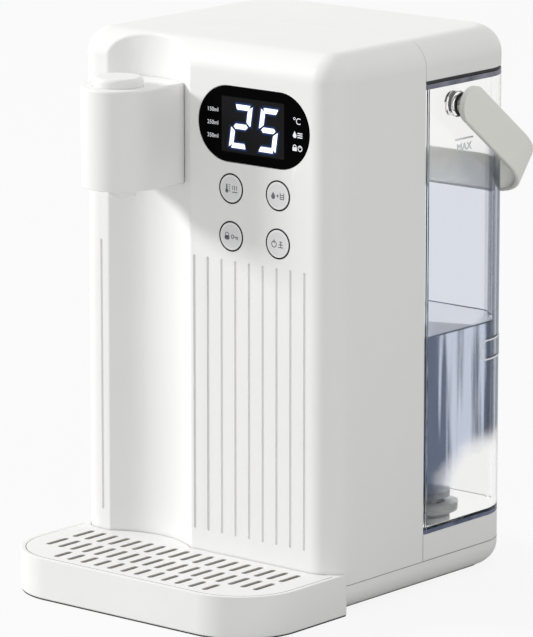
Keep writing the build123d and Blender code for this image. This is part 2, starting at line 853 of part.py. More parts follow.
def pump_motor():
    flange_front = volute_front - motor_flange
    body = along_y(valve_x, spigot_level, flange_front, volute_front, volute_radius)
    body = body + along_y(valve_x, spigot_level, motor_front, flange_front, motor_radius)
    hole_end = volute_front - shaft_length - fit_gap
    return body - along_y(valve_x, spigot_level, hole_end, volute_front + wall, shaft_radius + run_gap)


def pump_impeller():
    radius = volute_radius - volute_wall - impeller_play
    y0 = volute_front + impeller_play
    wheel = along_y(valve_x, spigot_level, y0, y0 + impeller_disc, radius)
    y1 = y0 + impeller_disc
    wheel = wheel + along_y(valve_x, spigot_level, y0, y1 + vane_height, impeller_hub)
    for i in range(vane_count):
        vane = block(0, radius - impeller_play, -vane_thick / 2, vane_thick / 2, 0, vane_height)
        turn = Pos(valve_x, y1, spigot_level) * Rot(-90, 0, 0) * Rot(0, 0, i * 360 / vane_count)
        wheel = wheel + turn * vane
    return wheel + along_y(valve_x, spigot_level, volute_front - shaft_length, y0, shaft_radius)


def pump_cradle():
    y1 = volute_front - motor_flange - hose_clear
    top = spigot_level - motor_radius + cradle_cup
    half = cradle_width / 2
    saddle = block(valve_x - half, valve_x + half, y1 - cradle_length, y1, pan_inside, top)
    return saddle - along_y(valve_x, spigot_level, y1 - 2 * cradle_length, y1 + wall, motor_radius + push_gap)


def heater_tube():
    body = upright(heater_x, pump_y, heater_low, heater_high, heater_radius)
    bore = heater_radius - heater_skin
    return body - upright(heater_x, pump_y, heater_low - wall, heater_high + wall, bore)


def heater_element():
    return upright(heater_x, pump_y, heater_low, heater_high, heater_core)


def heater_caps():
    radius = heater_radius + heater_cap_over
    port = heater_x + heater_port
    low = upright(heater_x, pump_y, heater_low - heater_cap, heater_low, radius)
    tip = heater_x + radius + heater_spigot
    low = low + along_x(pump_y, pump_outlet, port, tip, spigot_radius)
    low = low - along_x(pump_y, pump_outlet, port, tip + wall, spigot_bore)
    low = low - upright(port, pump_y, pump_outlet, heater_low + wall, spigot_bore)
    high = upright(heater_x, pump_y, heater_high, heater_high + heater_cap, radius)
    tip = heater_high + heater_cap + heater_spigot
    high = high + upright(port, pump_y, heater_high + heater_cap / 2, tip, spigot_radius)
    high = high - upright(port, pump_y, heater_high - wall, tip + wall, spigot_bore)
    return group((low, high))


def heater_clamps():
    clamps = []
    half = clamp_width / 2
    for low in (heater_low + clamp_inset, heater_high - clamp_inset - clamp_height):
        high = low + clamp_height
        ring = upright(heater_x, pump_y, low, high, clamp_radius)
        ring = ring + block(heater_x - half, heater_x + half, pump_y, rear_wall_y, low, high)
        ring = ring - behind(rear_wall_y)
        clamps.append(ring - upright(heater_x, pump_y, low - wall, high + wall, heater_radius + push_gap))
    return group(clamps)


def thermal_cutouts():
    near = pump_y - heater_radius - push_gap
    middle = (heater_low + heater_high) / 2
    levels = (middle - cutout_pitch / 2, middle + cutout_pitch / 2)
    return group(along_y(heater_x, z, near - cutout_thick, near, cutout_radius) for z in levels)


def temperature_probe():
    low = heater_high + heater_cap
    return upright(heater_x - probe_side, pump_y, low, low + probe_length, probe_radius)


def inlet_hose():
    start = (valve_x, valve_y - socket_radius - hose_start, spigot_level)
    end = (valve_x, volute_rear + hose_start, spigot_level)
    return tube((start, end), None, hose_radius, hose_bore)


def pump_hose():
    start = (valve_x - volute_radius - hose_start, pump_y, pump_outlet)
    end = (heater_x + heater_radius + heater_cap_over + hose_start, pump_y, pump_outlet)
    return tube((start, end), None, hose_radius, hose_bore)


def outlet_hose():
    points = (
        (heater_x + heater_port, pump_y, heater_high + heater_cap + hose_start),
        (heater_x + heater_port, pump_y, outlet_level),
        (alcove_x, pump_y, outlet_level),
        (alcove_x, nozzle_y + chamber_radius + hose_start, outlet_level),
    )
    return tube(points, hose_bend, hose_radius, hose_bore)


# Power board
def power_board():
    return block(power_left, power_right, power_y - board_thick, power_y, power_low, power_high)


def power_parts():
    front = power_y - board_thick
    left = power_left + power_margin
    right = power_right - power_margin
    parts = []
    z = power_low + 2 * post_inset
    for box, at_left in ((relay_box, True), (coil_box, False), (sink_box, True), (terminal_box, False)):
        width, depth, height = box
        x = left if at_left else right - width
        parts.append(block(x, x + width, front - depth, front, z, z + height))
        z = z + height + part_gap
    can_x = (power_left + power_right) / 2
    parts.append(along_y(can_x, z + can_radius, front - can_length, front, can_radius))
    return group(parts)


# Feet, screws and cord gland
def base_feet():
    x = side_x - foot_side
    places = [(sx * x, y) for y in (front_y + foot_end, rear_y - foot_end) for sx in (-1, 1)]
    return group(upright(px, py, 0, foot_height, foot_radius) for px, py in places)


def case_screws():
    screws = []
    for x, y in screw_places:
        seat = pan_bottom + screw_sink
        head = upright(x, y, seat - screw_head_tall, seat, screw_head)
        screws.append(head + upright(x, y, seat, pan_top + screw_grip, screw_shank))
    return group(screws)


def cord_gland():
    half = gland_neck / 2
    flange = gland_flange / 2
    body = block(gland_x - half, gland_x + half, rear_y - wall, rear_y, pan_top, pan_top + gland_neck)
    outer = rear_y + gland_flange_thick
    inner = rear_y - wall - gland_flange_thick
    body = body + block(gland_x - flange, gland_x + flange, rear_y, outer, gland_z - flange, gland_z + flange)
    body = body + block(gland_x - flange, gland_x + flange, inner, rear_y - wall, pan_top, gland_z + flange)
    body = body + along_y(gland_x, gland_z, outer, outer + gland_tail, gland_tail_radius)
    return body - along_y(gland_x, gland_z, inner - wall, outer + gland_tail + wall, gland_bore)


key_names = ("button_top_left", "button_top_right", "button_bottom_left", "button_bottom_right")
pieces = {
    "front_housing": front_housing,
    "rear_wall": rear_wall,
    "base_pan": base_pan,
    "tank_seat": tank_seat,
    "spout_head": spout_head,
    "spout_floor": spout_floor,
    "spout_chassis": spout_chassis,
    "nozzle": nozzle,
    "outlet_chamber": outlet_chamber,
    "dispense_button": dispense_button,
    "dispense_switch": dispense_switch,
    "dispense_spring": dispense_spring,
    "display_window": display_window,
    "display_module": display_module,
    "control_board": control_board,
    "tact_switches": tact_switches,
    "drip_tray": drip_tray,
    "tray_feet": tray_feet,
    "drip_grille": drip_grille,
    "tank": tank,
    "pivot_washers": pivot_washers,
    "tank_handle": tank_handle,
    "lid_cover": lid_cover,
    "lid_liner": lid_liner,
    "lid_gasket": lid_gasket,
    "valve_collar": valve_collar,
    "valve_plunger": valve_plunger,
    "valve_seal": valve_seal,
    "valve_spring": valve_spring,
    "docking_socket": docking_socket,
    "socket_seal": socket_seal,
    "pump_volute": pump_volute,
    "pump_motor": pump_motor,
    "pump_impeller": pump_impeller,
    "pump_cradle": pump_cradle,
    "heater_tube": heater_tube,
    "heater_element": heater_element,
    "heater_caps": heater_caps,
    "heater_clamps": heater_clamps,
    "thermal_cutouts": thermal_cutouts,
    "temperature_probe": temperature_probe,
    "inlet_hose": inlet_hose,
    "pump_hose": pump_hose,
    "outlet_hose": outlet_hose,
    "power_board": power_board,
    "power_parts": power_parts,
    "base_feet": base_feet,
    "case_screws": case_screws,
    "cord_gland": cord_gland,
}

os.makedirs("parts", exist_ok=True)
for name, make in pieces.items():
    export_step(make(), f"parts/{name}.step")
for name, (key_at_x, key_at_z) in zip(key_names, key_places):
    export_step(panel_button(key_at_x, key_at_z), f"parts/{name}.step")
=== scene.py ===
import json
from math import cos, hypot, radians, sin, tan

import bmesh
import bpy
from mathutils import Matrix, Vector

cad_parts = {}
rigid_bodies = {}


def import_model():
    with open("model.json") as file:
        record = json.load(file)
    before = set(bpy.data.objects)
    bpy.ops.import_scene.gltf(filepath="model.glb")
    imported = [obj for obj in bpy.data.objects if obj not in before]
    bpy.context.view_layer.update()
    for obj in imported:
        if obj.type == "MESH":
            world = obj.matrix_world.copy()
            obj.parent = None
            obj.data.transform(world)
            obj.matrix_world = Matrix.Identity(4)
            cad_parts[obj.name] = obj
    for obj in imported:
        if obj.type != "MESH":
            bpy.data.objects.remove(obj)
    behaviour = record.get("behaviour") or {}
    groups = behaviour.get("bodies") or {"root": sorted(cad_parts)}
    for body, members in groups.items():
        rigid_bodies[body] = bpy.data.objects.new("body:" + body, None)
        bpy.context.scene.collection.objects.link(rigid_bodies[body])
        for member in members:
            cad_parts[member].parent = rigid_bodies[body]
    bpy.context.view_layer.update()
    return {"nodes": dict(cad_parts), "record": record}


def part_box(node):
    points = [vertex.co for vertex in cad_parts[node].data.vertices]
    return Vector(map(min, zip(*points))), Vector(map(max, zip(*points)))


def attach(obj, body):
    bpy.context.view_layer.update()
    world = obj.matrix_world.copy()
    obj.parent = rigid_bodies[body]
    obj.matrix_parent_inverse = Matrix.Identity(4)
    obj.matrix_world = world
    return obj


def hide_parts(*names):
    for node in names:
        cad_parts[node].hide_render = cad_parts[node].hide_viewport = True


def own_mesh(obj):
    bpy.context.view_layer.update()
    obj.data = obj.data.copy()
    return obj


for spare in list(bpy.data.objects):
    bpy.data.objects.remove(spare)  # the start-up cube, lamp and camera
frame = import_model()
nodes = frame["nodes"]
behaviour = frame["record"]["behaviour"]
scene = bpy.context.scene
mm = 0.001
houseLow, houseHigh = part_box("front_housing")
tankLow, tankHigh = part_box("tank")
print("frame loaded:", len(nodes), "nodes")


# node helpers

def rgb(red, green, blue):
    return (red, green, blue, 1.0)


white = rgb(1, 1, 1)


def wire(tree, start, end):
    # an output is linked, a plain value is set on the socket itself
    if isinstance(start, bpy.types.NodeSocket):
        tree.links.new(start, end)
    else:
        end.default_value = start


def noiseNode(tree, place, detail, scale):
    noise = tree.nodes.new("ShaderNodeTexNoise")
    wire(tree, place, noise.inputs["Vector"])
    wire(tree, detail, noise.inputs["Detail"])
    wire(tree, scale, noise.inputs["Scale"])
    return noise.outputs["Fac"]


def mixNode(tree, share, first, second, kind="RGBA"):
    mix = tree.nodes.new("ShaderNodeMix")
    mix.data_type = kind
    wire(tree, share, mix.inputs["Factor"])
    wire(tree, first, mix.inputs["A"])
    wire(tree, second, mix.inputs["B"])
    return mix.outputs["Result"]


def mapNode(tree, value, low=0.3, high=0.7, smooth=False):
    spread = tree.nodes.new("ShaderNodeMapRange")
    if smooth:
        spread.interpolation_type = "SMOOTHSTEP"
    wire(tree, low, spread.inputs["From Min"])
    wire(tree, high, spread.inputs["From Max"])
    wire(tree, value, spread.inputs["Value"])
    return spread.outputs["Result"]


def mathNode(tree, kind, first, second=0.0):
    node = tree.nodes.new("ShaderNodeMath")
    node.operation = kind
    wire(tree, first, node.inputs[0])
    wire(tree, second, node.inputs[1])
    return node.outputs["Value"]


def vectorNode(tree, kind, first, second):
    node = tree.nodes.new("ShaderNodeVectorMath")
    node.operation = kind
    wire(tree, first, node.inputs[0])
    wire(tree, second, node.inputs[1])
    return node.outputs["Vector"]


def groupNode(tree, group, values):
    node = tree.nodes.new("ShaderNodeGroup")
    node.node_tree = group
    for label, value in values.items():
        wire(tree, value, node.inputs[label])
    return node


def blendShaders(tree, share, first, second, output):
    both = tree.nodes.new("ShaderNodeMixShader")
    wire(tree, share, both.inputs["Fac"])
    wire(tree, first, both.inputs[1])
    wire(tree, second, both.inputs[2])
    wire(tree, both.outputs["Shader"], tree.nodes[output].inputs["Surface"])


# shared surface effects, as node groups
colourKind, valueKind, vectorKind = "NodeSocketColor", "NodeSocketFloat", "NodeSocketVector"


def newGroup(name, inputs, outputs):
    group = bpy.data.node_groups.new(name, "ShaderNodeTree")
    for label, kind, value in inputs:
        socket = group.interface.new_socket(label, in_out="INPUT", socket_type=kind)
        socket.default_value = value
    for label, kind in outputs:
        group.interface.new_socket(label, in_out="OUTPUT", socket_type=kind)
    start, end = group.nodes.new("NodeGroupInput"), group.nodes.new("NodeGroupOutput")
    place = group.nodes.new("ShaderNodeTexCoord").outputs["Object"]
    return group, start.outputs, end.inputs, place


def makeMouldFinish():
    # faint clouds of tone, and a fine grain in gloss and height
    group, start, end, place = newGroup("mouldFinish", [
        ("Tone A", colourKind, rgb(0.8, 0.8, 0.8)),
        ("Tone B", colourKind, rgb(0.8, 0.8, 0.8)),
        ("Rough Low", valueKind, 0.4),
        ("Rough High", valueKind, 0.5),
        ("Cloud Scale", valueKind, 14.0),
        ("Grain Scale", valueKind, 1800.0),
    ], [("Colour", colourKind), ("Rough", valueKind), ("Height", valueKind)])
    cloud = mapNode(group, noiseNode(group, place, detail=3.0, scale=start["Cloud Scale"]))
    wire(group, mixNode(group, cloud, start["Tone A"], start["Tone B"]), end["Colour"])
    grain = noiseNode(group, place, detail=2.0, scale=start["Grain Scale"])
    rough = mixNode(group, mapNode(group, grain), start["Rough Low"], start["Rough High"], "FLOAT")
    wire(group, rough, end["Rough"])
    wire(group, grain, end["Height"])
    return group


def streakNoise(group, start, place, detail):
    # noise drawn out upright
    scale = group.nodes.new("ShaderNodeCombineXYZ")
    for axis, label in zip("XYZ", ("Across", "Across", "Along")):
        wire(group, start[label], scale.inputs[axis])
    stretched = vectorNode(group, "MULTIPLY", place, scale.outputs["Vector"])
    return noiseNode(group, stretched, detail, scale=1.0)


def makeStreaks():
    group, start, end, place = newGroup("uprightStreaks", [
        ("Tone A", colourKind, rgb(0.8, 0.8, 0.8)),
        ("Tone B", colourKind, rgb(0.8, 0.8, 0.8)),
        ("Across", valueKind, 60.0),
        ("Along", valueKind, 2.0),
    ], [("Colour", colourKind), ("Height", valueKind)])
    streak = streakNoise(group, start, place, detail=2.0)
    tone = mixNode(group, mapNode(group, streak, low=0.35, high=0.65), start["Tone A"], start["Tone B"])
    wire(group, tone, end["Colour"])
    wire(group, streak, end["Height"])
    return group


def makePaintedSideShade():
    # painted reflection and shade: on the sides pale in the middle of the depth and deep towards both ends,
    # clear elsewhere
    group, start, end, place = newGroup("paintedSideShade", [
        ("Clear", colourKind, white),
        ("Pale", colourKind, white),
        ("Deep", colourKind, rgb(0.1, 0.1, 0.1)),
        ("Middle", valueKind, 0.066),
        ("Near", valueKind, 0.01),
        ("Far", valueKind, 0.03),
        ("Side", valueKind, 0.07),
        ("Side Blend", valueKind, 0.014),
        ("Streak", valueKind, 0.5),
        ("Across", valueKind, 60.0),
        ("Along", valueKind, 2.0),
    ], [("Colour", colourKind)])
    spot = group.nodes.new("ShaderNodeSeparateXYZ")
    wire(group, place, spot.inputs["Vector"])
    off = mathNode(group, "ABSOLUTE", mathNode(group, "SUBTRACT", spot.outputs["Y"], start["Middle"]))
    off = mathNode(group, "SUBTRACT", off, start["Near"])
    reach = mathNode(group, "SUBTRACT", start["Far"], start["Near"])
    share = mathNode(group, "DIVIDE", off, reach)
    streak = mapNode(group, streakNoise(group, start, place, detail=3.0))
    swing = mathNode(group, "SUBTRACT", streak, 0.5)  # both ways from the middle
    share = mathNode(group, "ADD", share, mathNode(group, "MULTIPLY", swing, start["Streak"]))
    tone = mixNode(group, mapNode(group, share, 0.0, 1.0, smooth=True), start["Pale"], start["Deep"])
    out = mathNode(group, "SUBTRACT", mathNode(group, "ABSOLUTE", spot.outputs["X"]), start["Side"])
    onSide = mapNode(group, out, 0.0, start["Side Blend"])
    wire(group, mixNode(group, onSide, start["Clear"], tone), end["Colour"])
    return group


def makePaintedLightPatch():
    # a soft ragged oval, one inside and nought outside, where light is painted
    group, start, end, place = newGroup("paintedLightPatch", [
        ("Centre", vectorKind, (0.0, 0.0, 0.0)),
        ("Reach", vectorKind, (1.0, 0.02, 0.02)),
        ("Ragged Scale", valueKind, 60.0),
        ("Ragged", valueKind, 0.4),
        ("Fade From", valueKind, 1.4),
        ("Fade To", valueKind, 0.8),
    ], [("Mask", valueKind)])
    off = vectorNode(group, "SUBTRACT", place, start["Centre"])
    size = group.nodes.new("ShaderNodeVectorMath")
    size.operation = "LENGTH"
    wire(group, vectorNode(group, "DIVIDE", off, start["Reach"]), size.inputs[0])
    ragged = noiseNode(group, place, detail=2.0, scale=start["Ragged Scale"])
    ragged = mathNode(group, "MULTIPLY", ragged, start["Ragged"])
    far = mathNode(group, "ADD", size.outputs["Value"], ragged)
    wire(group, mapNode(group, far, start["Fade From"], start["Fade To"], smooth=True), end["Mask"])
    return group


mouldFinish = makeMouldFinish()
uprightStreaks = makeStreaks()
paintedSideShade = makePaintedSideShade()
paintedLightPatch = makePaintedLightPatch()
print("surface groups made")


# finishes
grainDepth = 0.0001  # metres
plainMould = dict(cloud=14.0, grain=1800.0, bump=0.08, sockets={})  # where a look gives none


def newMaterial(name, sockets):
    material = bpy.data.materials.new(name)
    material.use_nodes = True
    shader = material.node_tree.nodes["Principled BSDF"]
    for label, value in sockets.items():
        shader.inputs[label].default_value = value
    return material, material.node_tree, shader


def addBump(tree, shader, height, strength):
    bump = tree.nodes.new("ShaderNodeBump")
    bump.inputs["Strength"].default_value = strength
    bump.inputs["Distance"].default_value = grainDepth
    wire(tree, height, bump.inputs["Height"])
    wire(tree, bump.outputs["Normal"], shader.inputs["Normal"])


def mouldedPlastic(name, look):
    look = dict(plainMould, **look)
    material, tree, shader = newMaterial(name, look["sockets"])
    roughLow, roughHigh = look["rough"]
    finish = groupNode(tree, mouldFinish, {
        "Tone A": look["toneA"], "Tone B": look["toneB"], "Rough Low": roughLow, "Rough High": roughHigh,
        "Cloud Scale": look["cloud"], "Grain Scale": look["grain"]}).outputs
    wire(tree, finish["Colour"], shader.inputs["Base Color"])
    wire(tree, finish["Rough"], shader.inputs["Roughness"])
    addBump(tree, shader, finish["Height"], look["bump"])
    if "lit" in look:
        wire(tree, finish["Colour"], shader.inputs["Emission Color"])
        shader.inputs["Emission Strength"].default_value = look["lit"]
    return material


def brushedSteel(name, look):
    material, tree, shader = newMaterial(name, look["sockets"])
    lines = groupNode(tree, uprightStreaks, {
        "Tone A": look["toneA"], "Tone B": look["toneB"], "Across": look["across"],
        "Along": look["along"]}).outputs
    wire(tree, lines["Colour"], shader.inputs["Base Color"])
    addBump(tree, shader, lines["Height"], look["bump"])
    return material


def clearBody(name, look):
    material, tree, shader = newMaterial(name, look["sockets"])
    labels = ("Clear", "Pale", "Deep", "Near", "Far", "Side", "Streak", "Across", "Along")
    values = {label: look[label.lower()] for label in labels}
    values["Middle"] = tankLow.y + look["middle"]
    # the sides of the tank and the water take painted reflection and shade
    colour = groupNode(tree, paintedSideShade, values).outputs["Colour"]
    # each patch mixes the tone towards white: painted light
    for at, reach in look.get("patches", ()):
        centre = Vector(at) + Vector((0, tankLow.y, 0))
        mask = groupNode(tree, paintedLightPatch, {"Centre": centre, "Reach": reach}).outputs["Mask"]
        colour = mixNode(tree, mask, colour, white)
    facing = tree.nodes.new("ShaderNodeNewGeometry")
    entry = mixNode(tree, facing.outputs["Backfacing"], colour, white)  # the painted tone counts once, on the way in
    wire(tree, entry, shader.inputs["Base Color"])
    passing = tree.nodes.new("ShaderNodeBsdfTransparent")
    passing.inputs["Color"].default_value = look["shade"]
    path = tree.nodes.new("ShaderNodeLightPath")
    blendShaders(tree, path.outputs["Is Shadow Ray"], shader.outputs["BSDF"], passing.outputs["BSDF"],
                 "Material Output")
    return material


# two tones that mix in clouds, the span of roughness, and lit for a piece that glows
mouldedLooks = {
    "whiteShell": dict(
        toneA=rgb(0.86, 0.86, 0.85), toneB=rgb(0.88, 0.88, 0.87), rough=(0.42, 0.50),
        sockets={"Specular IOR Level": 0.3}),
    "keyCap": dict(
        toneA=rgb(0.84, 0.84, 0.84), toneB=rgb(0.87, 0.87, 0.87), rough=(0.30, 0.36)),
    "keyDisc": dict(
        toneA=rgb(0.74, 0.74, 0.745), toneB=rgb(0.78, 0.78, 0.785), rough=(0.38, 0.44)),
    "keyPrint": dict(
        toneA=rgb(0.10, 0.10, 0.11), toneB=rgb(0.14, 0.14, 0.15), rough=(0.50, 0.60), grain=4000.0),
    "handleGrey": dict(
        toneA=rgb(0.85, 0.85, 0.795), toneB=rgb(0.87, 0.87, 0.82), rough=(0.40, 0.48),
        sockets={"Specular IOR Level": 0.3}),
    "darkRubber": dict(
        toneA=rgb(0.020, 0.020, 0.022), toneB=rgb(0.035, 0.035, 0.038), rough=(0.60, 0.75),
        grain=1200.0, bump=0.25),
    "milkySilicone": dict(
        toneA=rgb(0.62, 0.64, 0.64), toneB=rgb(0.70, 0.71, 0.70), rough=(0.40, 0.55),
        sockets={"Subsurface Weight": 0.3, "Subsurface Scale": 0.002}),
    "innerPlastic": dict(
        toneA=rgb(0.66, 0.66, 0.63), toneB=rgb(0.71, 0.71, 0.68), rough=(0.45, 0.55)),
    "blackPlastic": dict(
        toneA=rgb(0.018, 0.018, 0.020), toneB=rgb(0.030, 0.030, 0.032), rough=(0.42, 0.52)),
    "boardGreen": dict(
        toneA=rgb(0.010, 0.085, 0.035), toneB=rgb(0.020, 0.150, 0.060), rough=(0.30, 0.45),
        cloud=260.0, grain=2400.0, sockets={"Coat Weight": 0.4}),
    "displayGlass": dict(
        toneA=rgb(0.0010, 0.0010, 0.0012), toneB=rgb(0.0018, 0.0018, 0.0021), rough=(0.05, 0.08),
        bump=0.01, sockets={"Specular IOR Level": 0.012}),
    "displayPane": dict(
        toneA=rgb(0.0090, 0.0090, 0.0100), toneB=rgb(0.0115, 0.0115, 0.0130), rough=(0.10, 0.14),
        bump=0.01, sockets={"Specular IOR Level": 0.05}),
    "digitGlow": dict(
        toneA=rgb(0.0080, 0.0120, 0.0260), toneB=rgb(0.0100, 0.0150, 0.0320), rough=(0.2, 0.3),
        lit=0.4, sockets={"Specular IOR Level": 0.03}),
    "digitHalo": dict(
        toneA=rgb(0.014, 0.032, 0.100), toneB=rgb(0.018, 0.040, 0.120), rough=(0.2, 0.3),
        lit=0.8, sockets={"Specular IOR Level": 0.03}),
    "digitLight": dict(
        toneA=rgb(0.88, 0.90, 0.95), toneB=rgb(0.94, 0.96, 1.0), rough=(0.3, 0.4), lit=0.75),
    "markLight": dict(
        toneA=rgb(0.62, 0.63, 0.66), toneB=rgb(0.70, 0.71, 0.74), rough=(0.3, 0.4), lit=0.4),
    "tankFrost": dict(
        toneA=rgb(0.88, 0.89, 0.91), toneB=rgb(0.92, 0.93, 0.95), rough=(0.35, 0.45)),
    # painted reflection: a dark blue band at the tank's foot
    "paintedFootReflection": dict(
        toneA=rgb(0.040, 0.055, 0.120), toneB=rgb(0.160, 0.190, 0.300), rough=(0.10, 0.16), cloud=110.0),
    # painted shade: a purple-grey band under the lid
    "paintedRimShade": dict(
        toneA=rgb(0.130, 0.130, 0.185), toneB=rgb(0.300, 0.300, 0.370), rough=(0.10, 0.18), cloud=90.0),
    # painted reflection: dark lines with lighter flecks on the tank's front edges and round the water
    "paintedEdgeReflection": dict(
        toneA=rgb(0.030, 0.035, 0.060), toneB=rgb(0.420, 0.440, 0.500), rough=(0.12, 0.20), cloud=60.0),
    # painted shade for the walls of the grille's slots
    "paintedSlotShade": dict(
        toneA=rgb(0.380, 0.365, 0.335), toneB=rgb(0.430, 0.415, 0.380), rough=(0.50, 0.60)),
    "seamShade": dict(
        toneA=rgb(0.180, 0.180, 0.180), toneB=rgb(0.230, 0.230, 0.230), rough=(0.60, 0.70)),
    "trimBlack": dict(
        toneA=rgb(0.008, 0.008, 0.009), toneB=rgb(0.014, 0.014, 0.015), rough=(0.45, 0.55),
        sockets={"Specular IOR Level": 0.15}),
}
steelLook = dict(
    toneA=rgb(0.50, 0.50, 0.49), toneB=rgb(0.66, 0.66, 0.65), across=900.0, along=40.0, bump=0.15,
    sockets={"Metallic": 1.0, "Roughness": 0.32})
# painted light, as pale patches: centre, with its depth from the tank's front, and reach, in metres
topPaintedLight = ((0.087, 0.024, 0.266), (1.0, 0.090, 0.040))
lowPaintedLights = (((0.087, 0.054, 0.050), (1.0, 0.042, 0.026)), ((0.087, 0.040, 0.034), (1.0, 0.10, 0.016)))
# painted reflection and shade in the tank and the water: middle is the palest depth behind the tank's front,
# near and far where the deep tone starts and is full
clearLooks = {
    "clearTank": dict(
        clear=rgb(0.985, 0.988, 0.995), pale=rgb(0.57, 0.62, 0.75), deep=rgb(0.035, 0.050, 0.085),
        middle=0.022, near=0.026, far=0.042, side=0.066, streak=1.0, across=260.0, along=1.2,
        patches=(topPaintedLight, *lowPaintedLights), shade=rgb(0.98, 0.985, 0.99),
        sockets={"Transmission Weight": 1.0, "Roughness": 0.015, "IOR": 1.49,
                 "Specular Tint": rgb(0.30, 0.34, 0.45)}),
    "water": dict(
        clear=rgb(0.90, 0.93, 0.97), pale=rgb(0.60, 0.67, 0.80), deep=rgb(0.012, 0.020, 0.042),
        middle=0.037, near=0.001, far=0.021, side=0.050, streak=2.0, across=130.0, along=6.0,
        patches=lowPaintedLights, shade=rgb(0.96, 0.97, 0.99),
        sockets={"Transmission Weight": 1.0, "Roughness": 0.0, "IOR": 1.12}),
    # the water's top: pale in the middle of the depth, bluer towards both ends, painted reflection
    "waterTop": dict(
        clear=rgb(0.98, 0.985, 0.99), pale=rgb(0.98, 0.985, 0.99), deep=rgb(0.86, 0.90, 0.95),
        middle=0.042, near=0.020, far=0.045, side=-0.1, streak=0.4, across=60.0, along=60.0,
        shade=rgb(0.96, 0.97, 0.99),
        sockets={"Transmission Weight": 1.0, "Roughness": 0.0, "IOR": 1.333}),
}
finishes = {name: mouldedPlastic(name, look) for name, look in mouldedLooks.items()}
finishes["steelBrushed"] = brushedSteel("steelBrushed", steelLook)
finishes.update({name: clearBody(name, look) for name, look in clearLooks.items()})
slotFinish = {
    "white_shell": "whiteShell", "key_cap": "keyCap", "handle_grey": "handleGrey", "clear_tank": "clearTank",
    "display_black": "displayGlass", "display_led": "displayPane", "dark_rubber": "darkRubber",
    "silicone": "milkySilicone", "inner_plastic": "innerPlastic", "black_plastic": "blackPlastic",
    "circuit_board": "boardGreen", "steel": "steelBrushed",
}
nodeSlot = {name: node.data.materials[0].name.split(".")[0] for name, node in nodes.items()}
for name, node in nodes.items():
    node.data.materials[0] = finishes[slotFinish[nodeSlot[name]]]
nodeBody = {name: body for body, names in behaviour["bodies"].items() for name in names}
print("finishes made:", len(finishes))


# shared steps for the pieces: lengths in mm, angles in degrees
meshing = dict(weld=0.0005, solidWeld=0.002, flatAngle=0.4, sharpAngle=28.0, smoothAngle=40.0,
               facingUp=0.9)  # a normal's least rise on a level face


def newObject(name, data):
    thing = bpy.data.objects.new(name, data)
    scene.collection.objects.link(thing)
    return thing


def addPiece(name, bm, finish, body, smoothAngle=None):
    mesh = bpy.data.meshes.new(name)
    bm.to_mesh(mesh)
    bm.free()
    mesh.materials.append(finishes[finish])
    if smoothAngle is not None:
        mesh.polygons.foreach_set("use_smooth", [True] * len(mesh.polygons))
        mesh.set_sharp_from_angle(angle=radians(smoothAngle))
    piece = newObject(name, mesh)
    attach(piece, body)
    return piece


def solidMesh(nodeName, weld):
    bm = bmesh.new()
    bm.from_mesh(nodes[nodeName].data)
    bmesh.ops.remove_doubles(bm, verts=bm.verts, dist=weld * mm)
    return bm


def closeUp(bm):
    bmesh.ops.remove_doubles(bm, verts=bm.verts, dist=meshing["weld"] * mm)
    bmesh.ops.recalc_face_normals(bm, faces=bm.faces)


def vertsOf(made):
    return [item for item in made["geom"] if isinstance(item, bmesh.types.BMVert)]


def edgeSharp(edge):
    return len(edge.link_faces) == 2 and edge.calc_face_angle(0.0) > radians(meshing["sharpAngle"])


def middle(edge):
    return (edge.verts[0].co + edge.verts[1].co) / 2 / mm


def levelEdge(edge, height, near=0.06):
    return all(abs(vert.co.z / mm - height) < near for vert in edge.verts)


def uprightEdge(edge, least, lean=0.05):
    run = (edge.verts[0].co - edge.verts[1].co) / mm
    return abs(run.z) > least and hypot(run.x, run.y) < lean


def softCopy(nodeName, pieceName, width, share=None, segments=3):
    # the solid's own shape with its edges broken; share gives an edge a part of the full width
    bm = solidMesh(nodeName, meshing["solidWeld"])
    bmesh.ops.dissolve_limit(bm, angle_limit=radians(meshing["flatAngle"]), verts=bm.verts, edges=bm.edges)
    layer = bm.edges.layers.float.new("bevel_weight_edge")
    for edge in bm.edges:
        if edgeSharp(edge):
            edge[layer] = share(edge) if share else 1.0
    slotName = nodeSlot[nodeName]
    piece = addPiece(pieceName, bm, slotFinish[slotName], nodeBody[nodeName],
                     meshing["smoothAngle"])
    bevel = piece.modifiers.new("softEdges", "BEVEL")
    bevel.limit_method = "WEIGHT"
    bevel.width = width * mm
    bevel.segments = segments
    bevel.profile = 0.5
    bevel.use_clamp_overlap = False
    bevel.loop_slide = False
    even = piece.modifiers.new("evenNormals", "WEIGHTED_NORMAL")
    even.keep_sharp = True
    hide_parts(nodeName)
    return piece


# the scooped recess behind the spout
alcove = dict(axisX=-38.0, halfWide=29.15, deep=9.6, round=1.1, near=0.12, sideNear=0.3, footZ=17.0,
              crownZ=280.0)
alcove["radius"] = (alcove["halfWide"] ** 2 + alcove["deep"] ** 2) / (2 * alcove["deep"])


def alcoveShare(edge):
    # only the long outer edge of the recess, from the foot over the crown and down again
    centreY = houseLow.y / mm + alcove["deep"] - alcove["radius"]
    for vert in edge.verts:
        at = vert.co / mm
        if abs(hypot(at.x - alcove["axisX"], at.y - centreY) - alcove["radius"]) > alcove["near"]:
            return 0.0
    spot = middle(edge)
    onSide = abs(abs(spot.x - alcove["axisX"]) - alcove["halfWide"]) < alcove["sideNear"]
    onLip = spot.z > alcove["footZ"] and (onSide or spot.z > alcove["crownZ"])
    return 1.0 if edge.is_convex and onLip else 0.0


def panShare(edge):
    return 1.0 if levelEdge(edge, houseLow.z / mm) else 0.0


